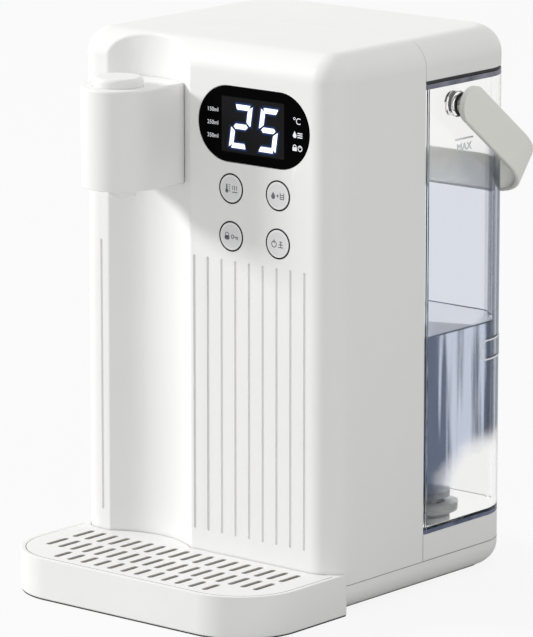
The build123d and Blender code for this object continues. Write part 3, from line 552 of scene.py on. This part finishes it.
# the spout head keeps its edges near the round button
headSoft = dict(width=1.2, foot=0.3, clear=15.5, box=[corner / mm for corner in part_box("spout_head")])
capLow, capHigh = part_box("dispense_button")
capMiddle = (capLow + capHigh) / 2 / mm


def headShare(edge):
    low, high = headSoft["box"]
    spot = middle(edge)
    if spot.y > houseLow.y / mm or hypot(spot.x - capMiddle.x, spot.y - capMiddle.y) < headSoft["clear"]:
        return 0.0
    if levelEdge(edge, high.z):
        return 1.0
    return headSoft["foot"] if levelEdge(edge, low.z) else 0.0


traySoft = dict(width=1.2, ear=0.8, earTall=15.0, earNear=0.3, foot=0.6, fine=0.2,
                box=[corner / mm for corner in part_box("drip_tray")])


def trayShare(edge):
    low, high = traySoft["box"]
    if uprightEdge(edge, traySoft["earTall"]) and abs(middle(edge).x) > high.x - traySoft["earNear"]:
        return traySoft["ear"]
    return traySoft["foot"] if levelEdge(edge, low.z) else traySoft["fine"]


softShells = [  # solid, piece, width of the broken edge, and the share where edges differ
    ("front_housing", "frontShell", alcove["round"], alcoveShare),
    ("base_pan", "basePan", 0.4, panShare),
    ("tank_seat", "tankSeat", 0.4),
    ("rear_wall", "rearWall", 0.4),
    ("spout_floor", "spoutFloor", 0.3),
    ("nozzle", "nozzleTip", 0.4),
    ("dispense_button", "dispenseCap", 0.3),
    ("display_window", "displayWindow", 0.35),
    ("lid_cover", "lidCover", 0.4),
    ("tank_handle", "tankHandle", 0.25, lambda edge: 0.0),  # round already
    ("pivot_washers", "pivotWashers", 0.25),
    ("tank", "tankShell", 0.5),
    ("spout_head", "spoutHead", headSoft["width"], headShare),
    ("drip_tray", "dripTray", traySoft["width"], trayShare),
]
for shell in softShells:
    softCopy(*shell)

grilleSoft = dict(lip=0.45, rim=0.3, segments=2, slotLength=30.0, wallRise=0.5,
                  top=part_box("drip_grille")[1].z / mm)
loopReach = {}


def grilleShare(edge):
    # the lips of the slots get the full width, the plate's own rim a part of it
    top = grilleSoft["top"]
    if not levelEdge(edge, top):
        return 0.0
    if edge.verts[0] not in loopReach:
        loop, waiting = set(), [edge.verts[0]]
        while waiting:
            vert = waiting.pop()
            if vert not in loop:
                loop.add(vert)
                waiting += [side.other_vert(vert) for side in vert.link_edges
                            if levelEdge(side, top) and edgeSharp(side)]
        spread = [vert.co.x for vert in loop]
        loopReach.update(dict.fromkeys(loop, (max(spread) - min(spread)) / mm))
    return 1.0 if loopReach[edge.verts[0]] < grilleSoft["slotLength"] else grilleSoft["rim"]


def makeGrille():
    piece = softCopy("drip_grille", "dripGrille", grilleSoft["lip"], grilleShare, grilleSoft["segments"])
    # the slot walls and the broken edges take a darker grey: painted shade in the slots
    piece.data.materials.append(finishes["paintedSlotShade"])
    piece.modifiers["softEdges"].material = 1
    for face in piece.data.polygons:
        face.material_index = 1 if abs(face.normal.z) < grilleSoft["wallRise"] else 0  # walls of the slots, painted shade


def makeDispenseSpring():
    # the spring under the dispense button, as a smooth copy with a mesh of its own
    bm = solidMesh("dispense_spring", meshing["weld"])
    bmesh.ops.recalc_face_normals(bm, faces=bm.faces)
    piece = addPiece("dispenseSpring", bm, "steelBrushed", "cabinet",
                     meshing["smoothAngle"])
    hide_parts("dispense_spring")
    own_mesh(piece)


makeGrille()
makeDispenseSpring()
print("soft-edged shells made")


# flat shapes that face the front: sizes are wide, thick, tall
frontTurn = Matrix.Rotation(radians(90), 3, "X")
dropShape = dict(pinch=0.75, rise=0.9, steps=24)
letterTall = 0.7  # a capital's height for a letter size of one


def block(bm, size, at):
    made = bmesh.ops.create_cube(bm, size=1.0)["verts"]
    bmesh.ops.scale(bm, vec=Vector(size) * mm, verts=made)
    bmesh.ops.translate(bm, vec=Vector(at) * mm, verts=made)
    return made


def roundCorners(bm, made, thick, offset, segments):
    edges = {edge for vert in made for edge in vert.link_edges}
    through = [edge for edge in edges if abs(edge.verts[0].co.y - edge.verts[1].co.y) > 0.5 * thick * mm]
    bmesh.ops.bevel(bm, geom=through, offset=offset * mm, affect="EDGES", segments=segments, profile=0.5,
                    material=-1)


def bar(bm, size, at, cornerRound, segments=3):
    roundCorners(bm, block(bm, size, at), size[1], cornerRound, segments)


def ring(bm, outer, inner, thick, at, steps):
    made = bmesh.ops.create_circle(bm, cap_ends=False, segments=steps, radius=outer * mm)["verts"]
    edges = list({edge for vert in made for edge in vert.link_edges})
    inside = vertsOf(bmesh.ops.extrude_edge_only(bm, edges=edges))
    bmesh.ops.scale(bm, vec=Vector((inner / outer, inner / outer, 1.0)), verts=inside)
    flat = list({face for vert in made for face in vert.link_faces})
    raised = vertsOf(bmesh.ops.extrude_face_region(bm, geom=flat))
    bmesh.ops.translate(bm, vec=Vector((0.0, 0.0, thick * mm)), verts=raised)
    whole = made + inside + raised
    bmesh.ops.rotate(bm, cent=Vector(), matrix=frontTurn, verts=whole)
    bmesh.ops.translate(bm, vec=Vector(at) * mm, verts=whole)


def disc(bm, radius, thick, at, steps, shape=None):
    made = bmesh.ops.create_cone(bm, cap_ends=True, segments=steps, radius1=radius * mm, radius2=radius * mm,
                                 depth=thick * mm)["verts"]
    bmesh.ops.rotate(bm, cent=Vector(), matrix=frontTurn, verts=made)
    if shape:
        shape(made, radius)
    bmesh.ops.translate(bm, vec=Vector(at) * mm, verts=made)


def dropPoint(made, radius):
    # draws the top of a round plate to a point
    for vert in made:
        if vert.co.z > 0:
            rise = vert.co.z / (radius * mm)
            vert.co.x *= 1.0 - dropShape["pinch"] * rise * rise
            vert.co.z *= 1.0 + dropShape["rise"] * rise


def flatText(bm, words, tall, at, thick):
    # built-in letters as a thin plate, centred at a point
    curve = bpy.data.curves.new("markText", "FONT")
    curve.body = words
    curve.size = tall * mm / letterTall
    curve.extrude = thick * mm / 2
    curve.align_x = "CENTER"
    curve.align_y = "CENTER"
    holder = newObject("markText", curve)
    bpy.context.view_layer.update()
    mesh = bpy.data.meshes.new_from_object(holder.evaluated_get(bpy.context.evaluated_depsgraph_get()))
    bpy.data.objects.remove(holder)
    mesh.transform(Matrix.Translation(Vector(at) * mm) @ frontTurn.to_4x4())
    bm.from_mesh(mesh)
    bpy.data.meshes.remove(mesh)


# the lit display; halos are finish and growth of the strokes, cuts the ends' slope
display = dict(paneWide=(13.6, 56.4), paneTall=(243.4, 273.0), paneThick=0.04, paneRound=0.8,
               digits="25", digitTall=(245.9, 269.4), digitPlaces=(18.6, 37.5), digitWide=13.0, slant=8.5,
               strokeFlat=2.75, strokeTall=2.9, halos=(("digitGlow", 1.5), ("digitHalo", 0.7)),
               barGap=0.40, barThick=0.03, barRound=0.55, barSteps=3, levelTrim=0.75, levelCut=0.8,
               uprightCut=1.5, middleRound=0.42)
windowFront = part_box("display_window")[0].y / mm
segmentsLit = {"2": "abged", "5": "afgcd"}


def mitred(bm, size, at, upright, cut):
    # a bar with one long side cut back at both ends
    made = block(bm, size, (0, 0, 0))
    short = [vert for vert in made if (vert.co.x if upright else vert.co.z) * cut > 0]
    longest, across = (size.z, size.x) if upright else (size.x, size.z)
    less = 1.0 - display["uprightCut" if upright else "levelCut"] * across / longest
    bmesh.ops.scale(bm, vec=Vector((1, 1, less) if upright else (less, 1, 1)), verts=short)
    bmesh.ops.translate(bm, vec=Vector(at) * mm, verts=made)
    roundCorners(bm, made, size.y, display["barRound"], display["barSteps"])


def digitBars(bm, digit, left, grow, front):
    low, high = display["digitTall"]
    wide, thick = display["digitWide"], display["barThick"]
    flat, tall = display["strokeFlat"], display["strokeTall"]
    half = (high - low) / 2
    gap = 2 * display["barGap"]
    level, run = wide - display["levelTrim"] * tall - gap, half - gap
    near, far = tall / 2, wide - tall / 2
    lower, upper = low + 0.5 * half, low + 1.5 * half
    places = {  # centre across, centre up, length along, upright, and which side is cut back
        "a": (wide / 2, high - flat / 2, level, 0, -1), "d": (wide / 2, low + flat / 2, level, 0, 1),
        "g": (wide / 2, low + half, wide - tall - gap, 0, 0),
        "f": (near, upper, run, 1, 1), "e": (near, lower, run, 1, 1),
        "b": (far, upper, run, 1, -1), "c": (far, lower, run, 1, -1)}
    for part in segmentsLit[digit]:
        across, height, length, upright, cut = places[part]
        size = Vector((tall, thick, length) if upright else (length, thick, flat))
        size += Vector((2 * grow, 0, 2 * grow))
        at = (left + across, front - thick / 2, height)
        if cut == 0:
            bar(bm, size, at, display["middleRound"] * size.z, segments=1)
        else:
            mitred(bm, size, at, upright, cut)


def slanted(bm):
    base = display["digitTall"][0] * mm
    lean = tan(radians(display["slant"]))
    shear = Matrix(((1, 0, lean, -lean * base), (0, 1, 0, 0), (0, 0, 1, 0), (0, 0, 0, 1)))
    bmesh.ops.transform(bm, matrix=shear, verts=bm.verts)


def makeDisplay():
    front, thick = windowFront, display["paneThick"]
    (left, right), (low, high) = display["paneWide"], display["paneTall"]
    bm = bmesh.new()
    bar(bm, (right - left, thick, high - low), ((left + right) / 2, front - thick / 2, (low + high) / 2),
        display["paneRound"])
    addPiece("displayPane", bm, "displayPane", "cabinet")
    front -= thick
    layers = [(name, name, grow) for name, grow in display["halos"]] + [("digitBars", "digitLight", 0.0)]
    for name, finish, grow in layers:
        bm = bmesh.new()
        for digit, left in zip(display["digits"], display["digitPlaces"]):
            digitBars(bm, digit, left, grow, front)
        slanted(bm)
        addPiece(name, bm, finish, "cabinet")
        front -= display["barThick"]


makeDisplay()

# printed and lit signs are strokes: shape, across, up, then bar: wide, tall, round if not the usual share;
# ring: outer, inner, steps; disc: radius, steps; drop: radius
prints = dict(thick=0.03, roundShare=0.45)


def drawSign(bm, strokes, x, y, z):
    thick = prints["thick"]
    for shape, across, up, *sizes in strokes:
        at = (x + across, y, z + up)
        if shape == "bar":
            wide, tall = sizes[:2]
            cornerRound = sizes[2] if len(sizes) > 2 else prints["roundShare"] * min(wide, tall)
            bar(bm, (wide, thick, tall), at, cornerRound)
        elif shape == "ring":
            outer, inner, steps = sizes
            ring(bm, outer, inner, thick, (x + across, y + thick / 2, z + up), steps)
        elif shape == "disc":
            disc(bm, sizes[0], thick, at, sizes[1])
        else:
            disc(bm, sizes[0], thick, at, dropShape["steps"], dropPoint)


# small lit signs at both sides of the digits
signs = dict(
    words=(("150ml", 2.2, 7.5, 265.0), ("250ml", 2.2, 7.5, 258.0), ("350ml", 2.2, 7.5, 251.0),
           ("C", 3.4, 66.0, 264.6)),
    marks=(
        (63.4, 264.6, [("ring", 0.0, 1.5, 0.75, 0.40, 20)]),  # degree
        (63.6, 257.4, [("drop", 0.0, -0.3, 1.25), ("bar", 3.5, -1.1, 3.4, 0.55, 0.2),
                       ("bar", 3.5, 0.0, 3.4, 0.55, 0.2), ("bar", 3.5, 1.1, 3.4, 0.55, 0.2)]),
        (63.6, 250.6, [("bar", 0.0, -0.6, 2.9, 2.0, 0.3), ("ring", 0.0, 0.6, 1.2, 0.75, 20),  # lock, switch
                       ("ring", 3.6, -0.1, 1.6, 1.1, 24), ("bar", 3.6, 0.9, 0.5, 1.6, 0.2)]),
    ))


def makeSigns():
    bm = bmesh.new()
    front = windowFront - prints["thick"] / 2
    for words, tall, x, z in signs["words"]:
        flatText(bm, words, tall, (x, front, z), prints["thick"])
    for x, z, strokes in signs["marks"]:
        drawSign(bm, strokes, x, front, z)
    closeUp(bm)
    addPiece("displaySigns", bm, "markLight", "cabinet")


makeSigns()
print("display made")


# panel keys: grey disc, printed sign and the dark gap ring round each
keys = dict(trim=(8.25, 7.44), trimProud=0.1, trimSteps=64, discRadius=6.3, discThick=0.05, discSteps=48)
keySigns = {
    "button_top_left": [  # thermometer and heat
        ("bar", -2.7, 0.7, 0.9, 3.4), ("disc", -2.7, -1.4, 1.05, 24),
        ("bar", -0.9, 2.0, 1.2, 0.4), ("bar", -0.9, 0.9, 1.2, 0.4),
        ("bar", -0.9, -0.2, 1.2, 0.4), ("bar", -0.9, -1.3, 1.2, 0.4),
        ("bar", 1.4, 0.6, 0.45, 2.3), ("bar", 2.7, 0.6, 0.45, 2.8), ("bar", 4.0, 0.6, 0.45, 2.3),
        ("bar", 2.7, -1.7, 3.8, 0.45)],
    "button_top_right": [  # drop, plus and measure
        ("drop", -3.0, -0.6, 1.35), ("bar", 0.0, 0.0, 1.9, 0.45), ("bar", 0.0, 0.0, 0.45, 1.9),
        ("bar", 1.8, 0.0, 0.45, 3.6), ("bar", 4.2, 0.0, 0.45, 3.6),
        ("bar", 3.0, -1.6, 2.2, 0.45), ("bar", 3.0, -0.5, 2.2, 0.45), ("bar", 3.0, 0.6, 2.2, 0.45)],
    "button_bottom_left": [  # lock and key
        ("ring", -2.6, 0.8, 1.35, 0.95, 24), ("bar", -2.6, -0.8, 3.4, 2.4),
        ("ring", 1.2, 0.0, 1.15, 0.7, 24), ("bar", 3.4, 0.0, 2.8, 0.45),
        ("bar", 3.7, -0.7, 0.45, 1.3), ("bar", 4.6, -0.7, 0.45, 1.3)],
    "button_bottom_right": [  # switch and tap
        ("ring", -2.4, -0.3, 1.8, 1.35, 32), ("bar", -2.4, 1.3, 0.5, 2.0),
        ("bar", 2.2, -1.7, 3.4, 0.45), ("bar", 2.2, -0.2, 2.7, 0.45), ("bar", 2.2, 1.3, 2.0, 0.45),
        ("bar", 2.2, -0.3, 0.45, 3.2)],
}


def makeKey(nodeName, strokes):
    low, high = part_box(nodeName)
    front, thick = low.y / mm, keys["discThick"]
    x, z = (low.x + high.x) / 2 / mm, (low.z + high.z) / 2 / mm
    bm = bmesh.new()
    disc(bm, keys["discRadius"], thick, (x, front - thick / 2, z), keys["discSteps"])
    addPiece(nodeName + "_disc", bm, "keyDisc", nodeBody[nodeName])
    bm = bmesh.new()
    drawSign(bm, strokes, x, front - thick - prints["thick"] / 2, z)
    closeUp(bm)
    addPiece(nodeName + "_sign", bm, "keyPrint", nodeBody[nodeName])


def makeKeyTrims():
    bm = bmesh.new()
    for nodeName in keySigns:
        low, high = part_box(nodeName)
        at = ((low.x + high.x) / 2 / mm, houseLow.y / mm, (low.z + high.z) / 2 / mm)
        ring(bm, *keys["trim"], keys["trimProud"], at, keys["trimSteps"])
    closeUp(bm)
    addPiece("keyTrims", bm, "trimBlack", "cabinet")


for nodeName, strokes in keySigns.items():
    makeKey(nodeName, strokes)
makeKeyTrims()
print("keys made")


# bodies and bands that follow the plan of the housing and the tank
plan = dict(cornerSteps=16, cornerLeast=0.01, cornerLean=0.001)


def outlineBox(bm, low, high, frontRound, rearRound):
    # a box with its upright edges rounded
    block(bm, high - low, (low + high) / 2)
    halfWay = (low.y + high.y) / 2
    for size, rear in ((frontRound, False), (rearRound, True)):
        if size:
            edges = [edge for edge in bm.edges if uprightEdge(edge, plan["cornerLeast"], plan["cornerLean"])
                     and (middle(edge).y > halfWay) == rear]
            bmesh.ops.bevel(bm, geom=edges, offset=size * mm, affect="EDGES", segments=plan["cornerSteps"],
                            profile=0.5, material=-1)


def outlineBand(name, place, finish, body, keep=None):
    # a thin band on the outside of a plan
    proud = place["proud"]
    bm = bmesh.new()
    out = Vector((proud, proud, 0))
    outlineBox(bm, place["low"] - out, place["high"] + out, place["frontRound"], place["rearRound"] + proud)
    spare = [face for face in bm.faces
             if abs(face.normal.z) > meshing["facingUp"] or (keep and not keep(face))]
    bmesh.ops.delete(bm, geom=spare, context="FACES")
    bmesh.ops.recalc_face_normals(bm, faces=bm.faces)
    bmesh.ops.solidify(bm, geom=bm.faces[:], thickness=place["thick"] * mm)
    closeUp(bm)
    addPiece(name, bm, finish, body, meshing["smoothAngle"])


# water in the tank, with a lip where it meets the wall
water = dict(level=138.5, wall=2.75, floor=34.2, corner=24.2, lip=0.9, lipRun=1.6, topRise=0.3,
             smoothAngle=50.0)


def makeWater():
    low, high = tankLow / mm, tankHigh / mm
    wall = water["wall"]
    bm = bmesh.new()
    outlineBox(bm, Vector((low.x + wall, low.y + wall, water["floor"])),
               Vector((high.x - wall, high.y - wall, water["level"])), 0.0, water["corner"])
    top = [face for face in bm.faces if face.normal.z > meshing["facingUp"]]
    bmesh.ops.inset_region(bm, faces=top, thickness=water["lipRun"] * mm, use_even_offset=True)
    rim = {vert for edge in bm.edges for vert in edge.verts if levelEdge(edge, water["level"])}
    inner = {vert for face in top for vert in face.verts}
    bmesh.ops.translate(bm, vec=Vector((0, 0, water["lip"] * mm)), verts=list(rim - inner))
    for face in bm.faces:
        face.material_index = 1 if face.normal.z > water["topRise"] else 0
    piece = addPiece("tankWater", bm, "water", "tank", water["smoothAngle"])
    piece.data.materials.append(finishes["waterTop"])


makeWater()

# painted reflection and shade: dark line at the tank's foot, rim under the lid, upright front edges, and the
# line round the water
paintedTankLines = dict(footZ=(31.2, 33.3), rimZ=(273.9, 276.6), proud=0.04, thick=0.03, frontRound=2.0,
                 rearRound=27.0, edgeAt=2.2, edgeWide=1.0, edgeGap=0.1)
paintedWaterLine = dict(proud=0.02, thick=0.02, frontRound=0.0, rearRound=water["corner"], under=0.1)


def makePaintedTankLines():
    low, high = tankLow / mm, tankHigh / mm
    inside = Vector((water["wall"], water["wall"], 0))
    place = dict(paintedWaterLine, low=Vector((low.x, low.y, water["level"] - paintedWaterLine["under"])) + inside,
                 high=Vector((high.x, high.y, water["level"] + water["lip"])) - inside)
    outlineBand("paintedWaterLine", place, "paintedEdgeReflection", "tank")
    for name, (zLow, zHigh), finish in (("paintedTankFootLine", paintedTankLines["footZ"], "paintedFootReflection"),
                                        ("paintedTankRimLine", paintedTankLines["rimZ"], "paintedRimShade")):
        place = dict(paintedTankLines, low=Vector((low.x, low.y, zLow)), high=Vector((high.x, high.y, zHigh)))
        outlineBand(name, place, finish, "tank")
    footTop, gap = paintedTankLines["footZ"][1], paintedTankLines["edgeGap"]
    tall = paintedTankLines["rimZ"][0] - footTop - 2 * gap
    bm = bmesh.new()
    for side in (low.x, high.x):
        x = side * (1 + paintedTankLines["proud"] / high.x)
        block(bm, (paintedTankLines["thick"], paintedTankLines["edgeWide"], tall),
              (x, low.y + paintedTankLines["edgeAt"], footTop + gap + tall / 2))
    addPiece("paintedTankEdgeLines", bm, "paintedEdgeReflection", "tank")


makePaintedTankLines()

# seam shades where the pan meets the housing and the seat
seams = dict(proud=0.03, thick=0.02, frontRound=15.5, rearRound=27.0, tall=0.35, frontGap=1.0)


def makeSeams():
    low = Vector((houseLow.x / mm, houseLow.y / mm, 0))
    high = Vector((houseHigh.x / mm, tankHigh.y / mm, 0))
    joint = houseLow.z / mm
    place = dict(seams, low=low + Vector((0, 0, joint - seams["tall"] / 2)),
                 high=high + Vector((0, 0, joint + seams["tall"] / 2)))
    outlineBand("panSeam", place, "seamShade", "cabinet",
                lambda face: face.calc_center_median().y > houseLow.y + seams["frontGap"] * mm)
    seatLow, seatHigh = (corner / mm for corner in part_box("tank_seat"))
    tall = seatHigh.z - joint
    bm = bmesh.new()
    for side in (low.x, high.x):
        x = side * (1 + seams["proud"] / high.x)
        block(bm, (seams["thick"], seams["tall"], tall), (x, seatLow.y, joint + tall / 2))
    addPiece("seatSeams", bm, "seamShade", "cabinet")


makeSeams()

# dark skirts under the drip tray and the base pan, painted contact shadow; the tray's is also a rubber foot
# ring
shadowSkirt = dict(tall=0.7, inset=0.5, wide=0.4, facingDown=-0.99, near=0.05, flatAngle=1.0,
             panInset=10.6, panRise=0.15, panThick=1.0, panRounds=(5.0, 16.4))


def makeTrayShadowSkirt():
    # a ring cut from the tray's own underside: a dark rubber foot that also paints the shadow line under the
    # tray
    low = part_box("drip_tray")[0]
    bm = solidMesh("drip_tray", meshing["solidWeld"])
    spare = [face for face in bm.faces if face.normal.z > shadowSkirt["facingDown"]
             or face.calc_center_median().z > low.z + shadowSkirt["near"] * mm]
    bmesh.ops.delete(bm, geom=spare, context="FACES")
    bmesh.ops.dissolve_limit(bm, angle_limit=radians(shadowSkirt["flatAngle"]), verts=bm.verts, edges=bm.edges)
    for thickness, kept in ((shadowSkirt["inset"], False), (shadowSkirt["wide"], True)):
        bmesh.ops.inset_region(bm, faces=bm.faces[:], thickness=thickness * mm, use_boundary=True,
                               use_even_offset=True)
        rim = {face for edge in bm.edges if edge.is_boundary for face in edge.link_faces}
        bmesh.ops.delete(bm, geom=list(set(bm.faces) - rim if kept else rim), context="FACES")
    lower = vertsOf(bmesh.ops.extrude_face_region(bm, geom=bm.faces[:]))
    bmesh.ops.translate(bm, vec=Vector((0, 0, -shadowSkirt["tall"] * mm)), verts=lower)
    closeUp(bm)
    addPiece("trayShadowSkirt", bm, "darkRubber", "tray")


def makePanShadowSkirt():
    # painted shadow: a dark band under the pan's rounded foot
    low, high = (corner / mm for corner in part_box("base_pan"))
    inside = Vector((shadowSkirt["panInset"], shadowSkirt["panInset"], 0))
    frontRound, rearRound = shadowSkirt["panRounds"]
    place = dict(proud=0.0, thick=shadowSkirt["panThick"], frontRound=frontRound, rearRound=rearRound,
                 low=Vector((low.x, low.y, low.z - shadowSkirt["tall"])) + inside,
                 high=Vector((high.x, high.y, low.z + shadowSkirt["panRise"])) - inside)
    outlineBand("panShadowSkirt", place, "darkRubber", "cabinet")


makeTrayShadowSkirt()
makePanShadowSkirt()

# moulded level mark on the tank's right side
tankMarks = dict(maxY=(24.9, 40.4), maxZ=243.7, maxTall=0.9, maxRound=0.3, proud=0.3, textZ=239.0,
                 textTall=4.2)


def makeTankMarks():
    proud = tankMarks["proud"]
    near, far = (tankLow.y / mm + reach for reach in tankMarks["maxY"])
    bm = bmesh.new()
    bar(bm, (far - near, proud, tankMarks["maxTall"]), ((near + far) / 2, 0, tankMarks["maxZ"]),
        tankMarks["maxRound"])
    flatText(bm, "MAX", tankMarks["textTall"], ((near + far) / 2, 0, tankMarks["textZ"]), proud)
    closeUp(bm)
    onSide = Matrix.Translation(Vector((tankHigh.x / mm + proud / 2, 0, 0)) * mm)
    turn = onSide @ Matrix.Rotation(radians(90), 4, "Z")  # from the front plane to the right side
    bmesh.ops.transform(bm, matrix=turn, verts=bm.verts)
    addPiece("tankMaxMark", bm, "tankFrost", "tank")


makeTankMarks()

# a moulded loop on the tank's right side, running round the rear corner
tankLoop = dict(startY=49.0, z=(118.2, 129.6), endX=7.0, wide=0.8, proud=0.25, round=4.8, roundSteps=6,
                near=1.0)


def makeTankLoop():
    low, high = tankLow / mm, tankHigh / mm
    zLow, zHigh = tankLoop["z"]
    start = low.y + tankLoop["startY"]
    bm = bmesh.new()
    outlineBox(bm, Vector((low.x, low.y, zLow)), Vector((high.x, high.y, zHigh)), paintedTankLines["frontRound"],
               paintedTankLines["rearRound"])
    bmesh.ops.bisect_plane(bm, geom=bm.verts[:] + bm.edges[:] + bm.faces[:],
                           plane_co=Vector((0, start, 0)) * mm, plane_no=Vector((0, 1, 0)))
    spare = [face for face in bm.faces if abs(face.normal.z) > meshing["facingUp"]
             or face.calc_center_median().y < start * mm
             or face.calc_center_median().x < (high.x - tankLoop["endX"]) * mm]
    bmesh.ops.delete(bm, geom=spare, context="FACES")
    corners = [vert for vert in bm.verts
               if len(vert.link_edges) == 2 and vert.co.y < (start + tankLoop["near"]) * mm]
    bmesh.ops.bevel(bm, geom=corners, offset=tankLoop["round"] * mm, affect="VERTICES",
                    segments=tankLoop["roundSteps"], profile=0.5, material=-1)
    bmesh.ops.inset_region(bm, faces=bm.faces[:], thickness=tankLoop["wide"] * mm, use_boundary=True,
                           use_even_offset=True)
    inner = [face for face in bm.faces if not any(edge.is_boundary for edge in face.edges)]
    bmesh.ops.delete(bm, geom=inner, context="FACES")
    bmesh.ops.recalc_face_normals(bm, faces=bm.faces)
    bmesh.ops.solidify(bm, geom=bm.faces[:], thickness=-tankLoop["proud"] * mm)
    closeUp(bm)
    addPiece("tankLoop", bm, "tankFrost", "tank", meshing["smoothAngle"])


makeTankLoop()
print("tank filled and marked")


# camera, floor and light, in metres and degrees
shot = dict(azimuth=39.96, elevation=12.15, distance=2.7192, target=(-0.02027, houseLow.y + 0.07701, 0.13531),
            lens=280.2, sensor=36.0, reach=50.0)


def makeCamera():
    around, up = radians(shot["azimuth"]), radians(shot["elevation"])
    away = Vector((sin(around) * cos(up), -cos(around) * cos(up), sin(up)))
    data = bpy.data.cameras.new("photoCamera")
    data.lens = shot["lens"]
    data.sensor_width = shot["sensor"]
    data.clip_end = shot["reach"]
    camera = newObject("photoCamera", data)
    camera.location = Vector(shot["target"]) + away * shot["distance"]
    camera.rotation_euler = (-away).to_track_quat("-Z", "Y").to_euler()
    scene.camera = camera


makeCamera()

studio = dict(floorSide=12.0, floorTone=rgb(0.65, 0.65, 0.65), floorRough=0.9, floorGlow=0.88, ambient=0.62,
              lamps=(("keyLamp", (-4.8, -2.5, 2.3), 1.2, 248.0),  # name, place, size, power
                     ("topLamp", (0.0, 0.1, 2.7), 1.2, 6.0),
                     ("fillLamp", (3.9, -1.2, 0.5), 2.0, 15.0)))


def seenStraight(tree, labels):
    # one for camera rays and the kinds named, until they have met a matt surface
    path = tree.nodes.new("ShaderNodeLightPath")
    last = path.outputs["Is Camera Ray"]
    for label in labels:
        last = mathNode(tree, "MAXIMUM", last, path.outputs[label])
    return mathNode(tree, "MULTIPLY", last, mathNode(tree, "LESS_THAN", path.outputs["Diffuse Depth"], 0.5))


def makeFloor():
    bm = bmesh.new()
    bmesh.ops.create_grid(bm, x_segments=1, y_segments=1, size=studio["floorSide"] / 2)
    mesh = bpy.data.meshes.new("studioFloor")
    bm.to_mesh(mesh)
    bm.free()
    material, tree, shader = newMaterial("studioFloor", {
        "Base Color": studio["floorTone"], "Roughness": studio["floorRough"], "Specular IOR Level": 0.0})
    glow = tree.nodes.new("ShaderNodeEmission")
    glow.inputs["Color"].default_value = white
    share = mathNode(tree, "MULTIPLY", seenStraight(tree, ("Is Transmission Ray",)), studio["floorGlow"])
    blendShaders(tree, share, shader.outputs["BSDF"], glow.outputs["Emission"], "Material Output")
    mesh.materials.append(material)
    floor = newObject("studioFloor", mesh)


def makeWorld():
    world = bpy.data.worlds.new("studioWorld")
    world.use_nodes = True
    scene.world = world
    tree = world.node_tree
    shown, light = tree.nodes["Background"], tree.nodes.new("ShaderNodeBackground")
    for sky, strength in ((shown, 1.0), (light, studio["ambient"])):
        sky.inputs["Color"].default_value = white
        sky.inputs["Strength"].default_value = strength
    blendShaders(tree, seenStraight(tree, ("Is Glossy Ray", "Is Transmission Ray")),
                 light.outputs["Background"], shown.outputs["Background"], "World Output")


def areaLamp(name, place, size, power):
    data = bpy.data.lights.new(name, "AREA")
    data.shape = "DISK"
    data.size = size
    data.energy = power
    lamp = newObject(name, data)
    lamp.location = place
    lamp.rotation_euler = (Vector(shot["target"]) - lamp.location).to_track_quat("-Z", "Y").to_euler()


makeFloor()
makeWorld()
for lamp in studio["lamps"]:
    areaLamp(*lamp)
scene.view_settings.view_transform = "Standard"
print("studio made")
